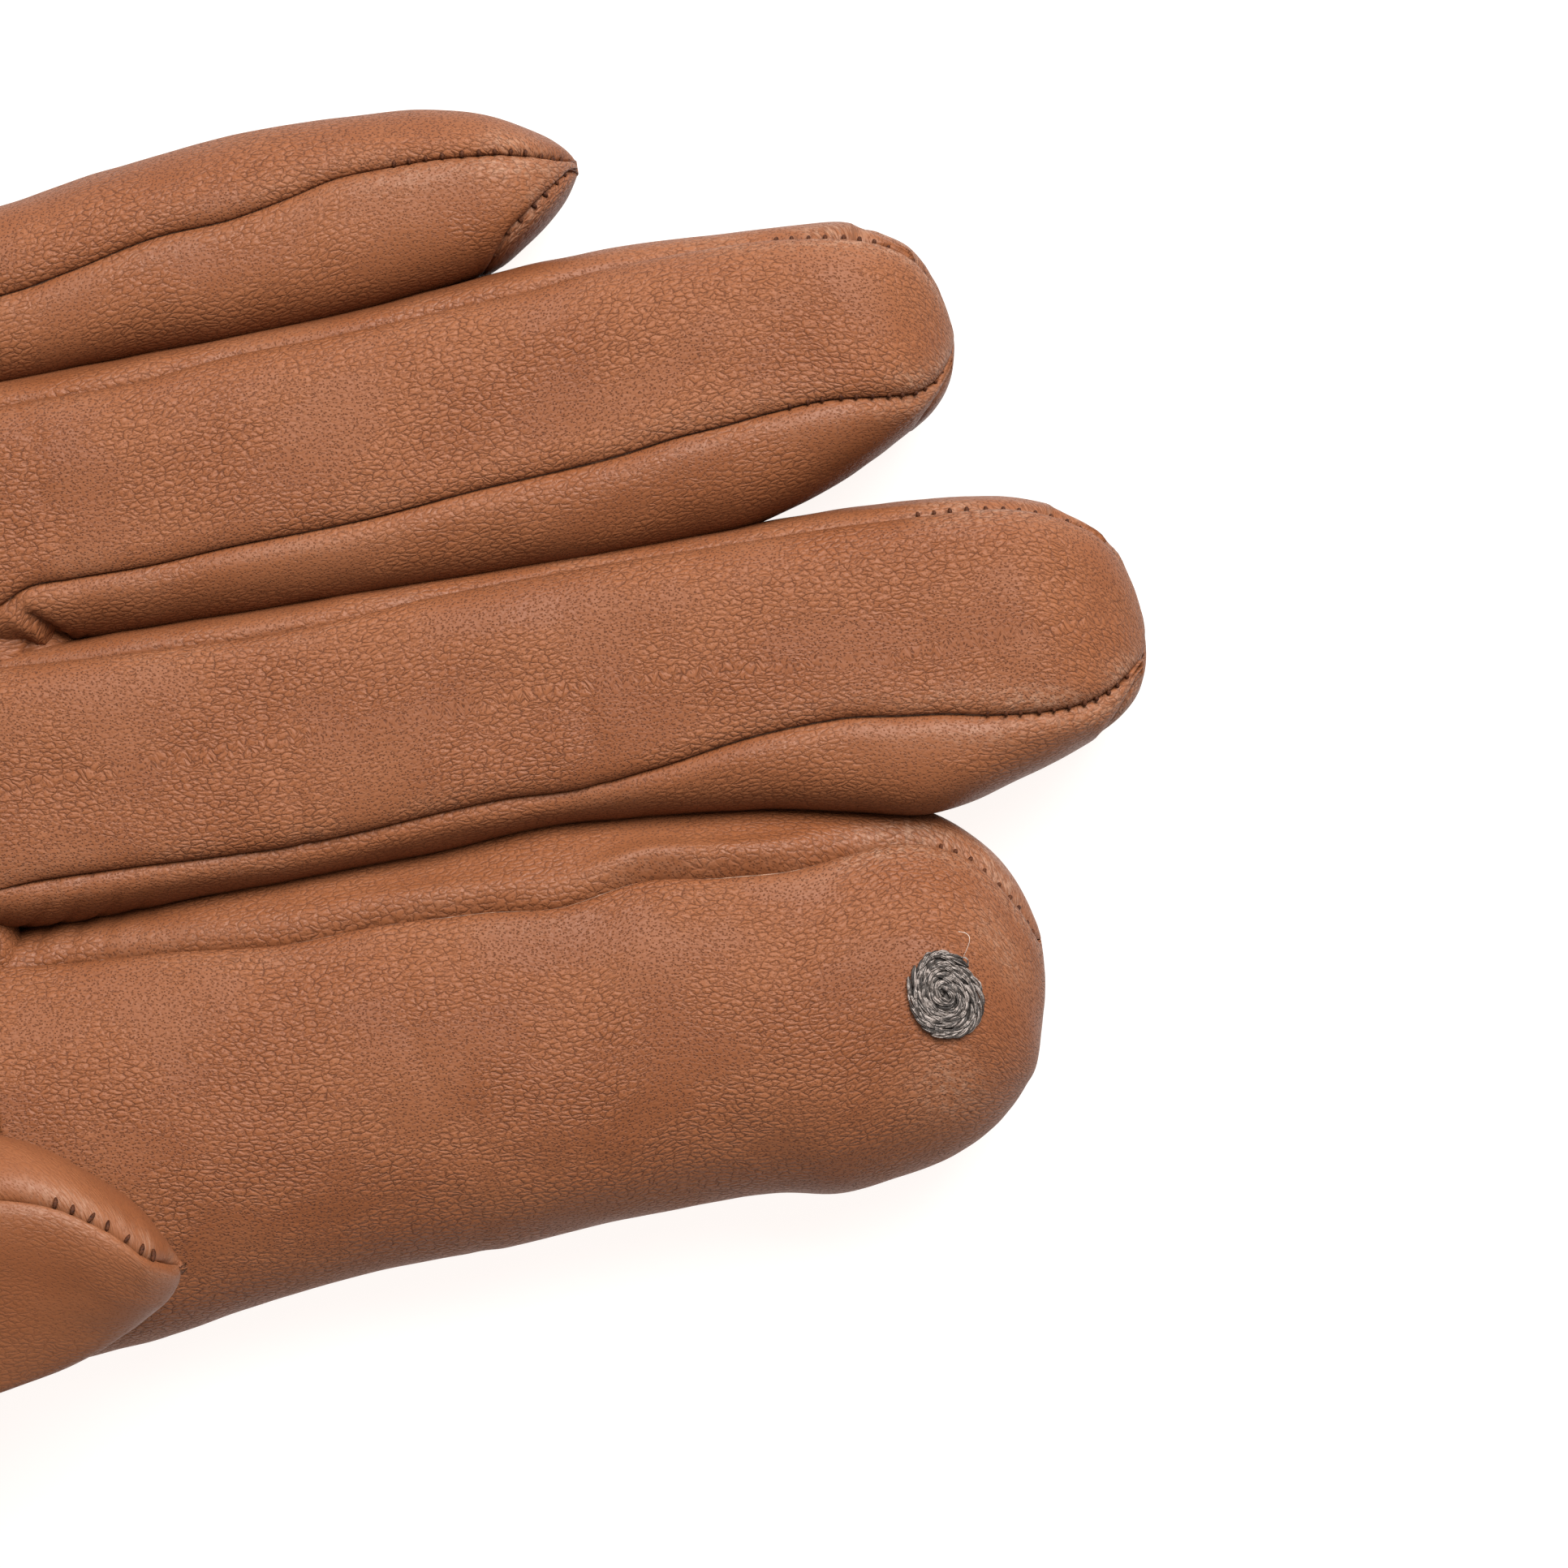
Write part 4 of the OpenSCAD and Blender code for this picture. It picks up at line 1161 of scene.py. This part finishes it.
def seam_stitches(digit, seam, start, stop, side=-1, size=0.6, depth=0.45, seed=0):
    """Dark threads over one side of a seam, one each stitch."""
    draw = np.random.default_rng(seed)
    first, last = float(digit.c(start)), min(float(digit.c(stop)), digit.end - 0.4)
    c = np.arange(first, last, STITCH)
    at, across, out = seam_points(digit, seam, c + draw.uniform(-0.12, 0.12, len(c)), depth)
    tubes = []
    for p, a, o in zip(at, across, out):
        lean = np.cross(a, o) * 0.25 * draw.uniform(-1, 1)
        reach = size * draw.uniform(0.85, 1.1)
        path = [p + (a * side + lean) * reach * d + o * (0.30 * d - 0.2 * d * d)
                for d in np.linspace(-0.25, 1, 6)]
        fat = np.array((0.10, 0.17, 0.19, 0.19, 0.16, 0.09)) * draw.uniform(0.85, 1.1)
        tubes.append(tube(path, fat, 7, up=o))
    return tubes


# Where the seams' stitches show: seam, first and last x, and the side of the seam that they lie on
STITCHED = {
    "index": [("fork", 105.8, 112.6, -1), ("back", 40, 110, 1)],
    "middle": [("ring", 108, 125, -1), ("index", 111, 125, -1), ("back_ring", 40, 121, 1),
               ("back_index", 40, 122, 1)],
    "ring": [("little", 100, 113.2, -1), ("middle", 99, 113.2, -1), ("back_little", 40, 109, 1),
             ("back_middle", 40, 110, 1)],
    "little": [("palm", 70, 84.6, -1), ("fork_back", 70, 84, 1), ("outer", 34, 84, 1)]}


def make_seam_stitches():
    seams = dict(zip(FINGERS, (INDEX_SEAMS, MIDDLE_SEAMS, RING_SEAMS, LITTLE_SEAMS)))
    for digit, runs in STITCHED.items():
        tubes = []
        for k, (seam, start, stop, side) in enumerate(runs):
            tubes += seam_stitches(FINGERS[digit], seams[digit][seam], start, stop, side, 0.38, seed=k)
        if digit == "index":
            tubes += seam_stitches(INDEX, fixed((0, 184), (200, 184)), 107, 112.6, 1, 0.3, 0.7)
        bend_piece(threads(digit + "_seam_stitching", tubes, THREAD), digit, "sewing_thread")
    tubes = seam_stitches(THUMB, THUMB_TOP, 31, 38.3, -1, 0.75, 0.35)
    tubes += seam_stitches(THUMB, THUMB_BOTTOM, 4, 37, 1, 0.5)
    bend_piece(threads("thumb_seam_stitching", tubes, THREAD), "thumb", "sewing_thread")


# ---------------------------------------------------------------- touch patch

def on_pad(x, y, lift):
    """Points above the palm side of the index finger."""
    c = INDEX.c(x)
    hi, lo = INDEX.hi(c), INDEX.lo(c)
    side = np.clip((y - (hi + lo) / 2) / ((hi - lo) / 2), -0.999, 0.999)
    t = np.degrees(np.arccos(spow(side, INDEX.square(c) / 2)))
    p = INDEX.point(c, t)
    n = unit(np.cross(INDEX.point(c, t - 1) - p, INDEX.point(c - 0.1, t) - p))
    n = n * np.sign(n[..., 2:])
    return p + n * np.asarray(lift)[..., None]


PATCH_SHIFT, PATCH_SHARE = (0.25, 0, 0), (0.94, 0.97, 1)     # the threads against the CAD's disc
DULL_SHARE = 0.42       # this share of the filaments is dark
LOOSE_LOOPS = ((0.75, 0.25, 0.5), (1.9, 0.2, 0.5), (0.1, 0.25, 0.5))    # angle, reach and height


def patch_frame():
    low, high = cad("touch_dot")
    return (low + high) / 2 - PATCH_SHIFT, (high - low) / 2 * PATCH_SHARE


def leaf(centre, a, b, start, reach, slant, draw, spread=0.17):
    """One strand of a chain stitch: a spindle of loose filaments that leans across its ring."""
    tubes = []
    u = np.linspace(0, 1, 9)
    swell = np.sin(math.pi * (0.06 + 0.88 * u)) ** 0.8
    for k in np.linspace(-1, 1, 6):
        lean = slant * (u - 0.5) + spread * k * swell + 0.035 * draw.normal() * swell
        angle = start + reach * (u + 0.03 * draw.normal())
        x = centre[0] + (a + lean) * np.cos(angle) * (1 - 0.15 * np.sin(angle)) - 0.25 * np.sin(angle)
        y = centre[1] + (b + lean) * np.sin(angle)
        lift = 0.02 + swell * (0.30 + 0.16 * math.sqrt(1 - k * k * 0.9)) + 0.10 * u
        tubes.append(tube(on_pad(x, y, lift), 0.047 + 0.02 * draw.random(), 5))
    return tubes


def chain_stitches(centre, half, rings=(0.87, 0.65, 0.44, 0.24), pitch=0.85):
    """Rings of chain stitches, each a plait of two rows of strands that lean against each other."""
    tubes = []
    for ring in rings:
        a, b = half[0] * ring, half[1] * ring
        count = max(4, round(math.pi * (a + b) / pitch))
        turn = RNG.random() * 6
        for k in range(count):
            for side in (-1, 1):
                start = turn + 2 * math.pi * (k + 0.25 * side) / count
                reach = 2 * math.pi / count * (1.55 + 0.2 * RNG.random())
                off = 0.17 * side + 0.08 * RNG.normal()
                tubes += leaf(centre, a + off, b + off, start, reach, -0.22 * side - 0.2, RNG)
    tubes += leaf(centre, 0.12, 0.2, 0.5, 3.0, 0.1, RNG)
    tubes += leaf(centre, half[0], half[1], 0.72, 0.34, -0.4, RNG, 0.12)
    return tubes


def pad_of_cloth(name, centre, half, lift):
    """The stitched-through ground under the threads: a low uneven oval, near-black so that it paints the
    shade between the strands.
    """
    r = np.linspace(0.02, 1, 14)[:, None]
    a = np.linspace(0, 2 * math.pi, 72, endpoint=False)[None]
    x, y = centre[0] + half[0] * r * np.cos(a), centre[1] + half[1] * r * np.sin(a)
    h = lift * (1 - r ** 6) + 0.05 * noise(x, y, 0.5, 0.5, 109)
    p = on_pad(x, y, h)
    if normals(p, ring=True)[7, 20, 2] < 0:
        p = p[::-1]
    return sheet(name, p, CONDUCTIVE_DARK_AND_SHADE, p[..., :2], thickness=0.35, ring=True)


def make_touch_patch():
    """Concentric chain stitches of conductive yarn through the index fingertip."""
    centre, half = patch_frame()
    ride_piece(pad_of_cloth("touch_ground", centre, half * 0.93, 0.16), "index_end", "conductive_yarn")
    tubes = chain_stitches(centre, half)
    dull = RNG.random(len(tubes)) < DULL_SHARE
    for name, picked, material in (("touch_stitches", ~dull, CONDUCTIVE),
                                   ("touch_stitches_dull", dull, CONDUCTIVE_DARK_AND_SHADE)):
        piece = threads(name, [tubes[k] for k in np.flatnonzero(picked)], material)
        ride_piece(piece, "index_end", "conductive_yarn", "touch_dot")
    back = pad_of_cloth("touch_reverse", centre, half * 0.8, -2.3)
    ride_piece(back, "index_end", "conductive_yarn", "touch_backing")
    make_loose_loops(centre, half)
    make_fibre(centre, half)


def make_loose_loops(centre, half):
    """Three loops of yarn that stand out of the patch's edge."""
    loops = []
    for angle, out, high in LOOSE_LOOPS:
        u = np.linspace(0, 1, 12)
        a = angle + 0.32 * (u - 0.5)
        grow = 0.93 + out / half[1] * np.sin(math.pi * u)
        x, y = centre[0] + half[0] * grow * np.cos(a), centre[1] + half[1] * grow * np.sin(a)
        loops.append(tube(on_pad(x, y, 0.15 + high * np.sin(math.pi * u)), 0.07, 5))
    sew("touch_loose_loops", loops, "index_end", CONDUCTIVE, "conductive_yarn")


def make_fibre(centre, half):
    """A pale hair of lint that stands off the patch."""
    u = np.linspace(0, 1, 22)
    x = centre[0] + 1.9 + 1.0 * u - 1.3 * u ** 3
    y = centre[1] + half[1] * 0.72 + 2.9 * u - 0.9 * u * u
    fibre = tube(on_pad(x, y, 0.4 + 1.2 * np.sin(math.pi * u * 0.8)), 0.022, 5)
    sew("touch_fibre", [fibre], "index_end", LINT, "conductive_yarn")


# ---------------------------------------------------------------- elastic

def make_elastic():
    """The elastic that draws in the palm side of the wrist, between the leather and the lining."""
    low, high = cad("wrist_elastic")
    xs = np.linspace(low[0], high[0], 31)
    p = cuff_ring([(x, 2.25 - 0.06 * math.cos(2 * math.pi * x)) for x in xs], 400)
    p = p[:, 46:178]
    run = lengths(p, 1)
    p = p + normals(p) * (0.10 * np.cos(2 * math.pi * run / 2.2))[..., None]
    piece = sheet("elastic_band", p, ELASTIC, hide_uv(xs[:, None], run), thickness=0.6)
    ride_piece(piece, "hand", "elastic_tape", "wrist_elastic")


# ---------------------------------------------------------------- stage

def make_world(scene):
    world = bpy.data.worlds.new("studio")
    scene.world = world
    world.use_nodes = True
    back = world.node_tree.nodes["Background"]
    back.inputs["Color"].default_value = (1.0, 0.99, 0.98, 1)
    back.inputs["Strength"].default_value = 0.35


def make_floor():
    """A white floor that glows, so that it is white and throws little of the lamps' light back."""
    g = Graph("white_floor")
    g.feed(g.shader, Base_Color=(0.15, 0.15, 0.15), Roughness=0.9, Emission_Color=(1.0, 0.95, 0.92),
           Emission_Strength=0.95)
    side, drop = 1500, -0.05
    corners = [(x * side, y * side, drop) for x, y in ((-1, -1), (1, -1), (1, 1), (-1, 1))]
    new_object("floor", corners, [(0, 1, 2, 3)], g.material)


def make_lamp(scene, name, at, size, power):
    lamp = bpy.data.lights.new(name, "AREA")
    lamp.energy, lamp.size = power, size
    lamp.color = (1.0, 0.985, 0.96)
    ob = bpy.data.objects.new(name, lamp)
    ob.location = at
    aim = Vector((0.08, 0, 0)) - ob.location
    ob.rotation_euler = aim.to_track_quat("-Z", "Y").to_euler()
    scene.collection.objects.link(ob)


def make_stage():
    """A white floor, a big soft light from beyond the little finger, and fill."""
    scene = bpy.context.scene
    scene.view_settings.view_transform = "Standard"
    make_world(scene)
    make_floor()
    make_lamp(scene, "key", (0.40, 0.56, 0.93), 0.7, 28.5)
    make_lamp(scene, "side", (-0.2, 0.6, 0.7), 0.5, 1.2)


def make_camera():
    """Straight down on the fingers, turned so that they run across and a little up the picture."""
    centre = Vector((93.7, -10.2, 15)) * MM
    right = Vector((0.9877, -0.1564, 0))
    up = Vector((0.1564, 0.9877, 0))
    distance, width, sensor = 0.75, 0.1288, 36
    data = bpy.data.cameras.new("camera")
    data.sensor_width = sensor
    data.lens = sensor * distance / width
    data.clip_start = 0.01
    camera = bpy.data.objects.new("camera", data)
    back = right.cross(up)
    rotation = Matrix((right, up, back)).transposed().to_4x4()
    camera.matrix_world = Matrix.Translation(centre + back * distance) @ rotation
    bpy.context.scene.collection.objects.link(camera)
    bpy.context.scene.camera = camera


for make in (make_camera, make_stage, make_fingers, make_hand, make_hem, make_hem_stitches,
             make_back_points, make_thumb, make_linings, make_quirks, make_seam_stitches,
             make_touch_patch, make_elastic):
    make()
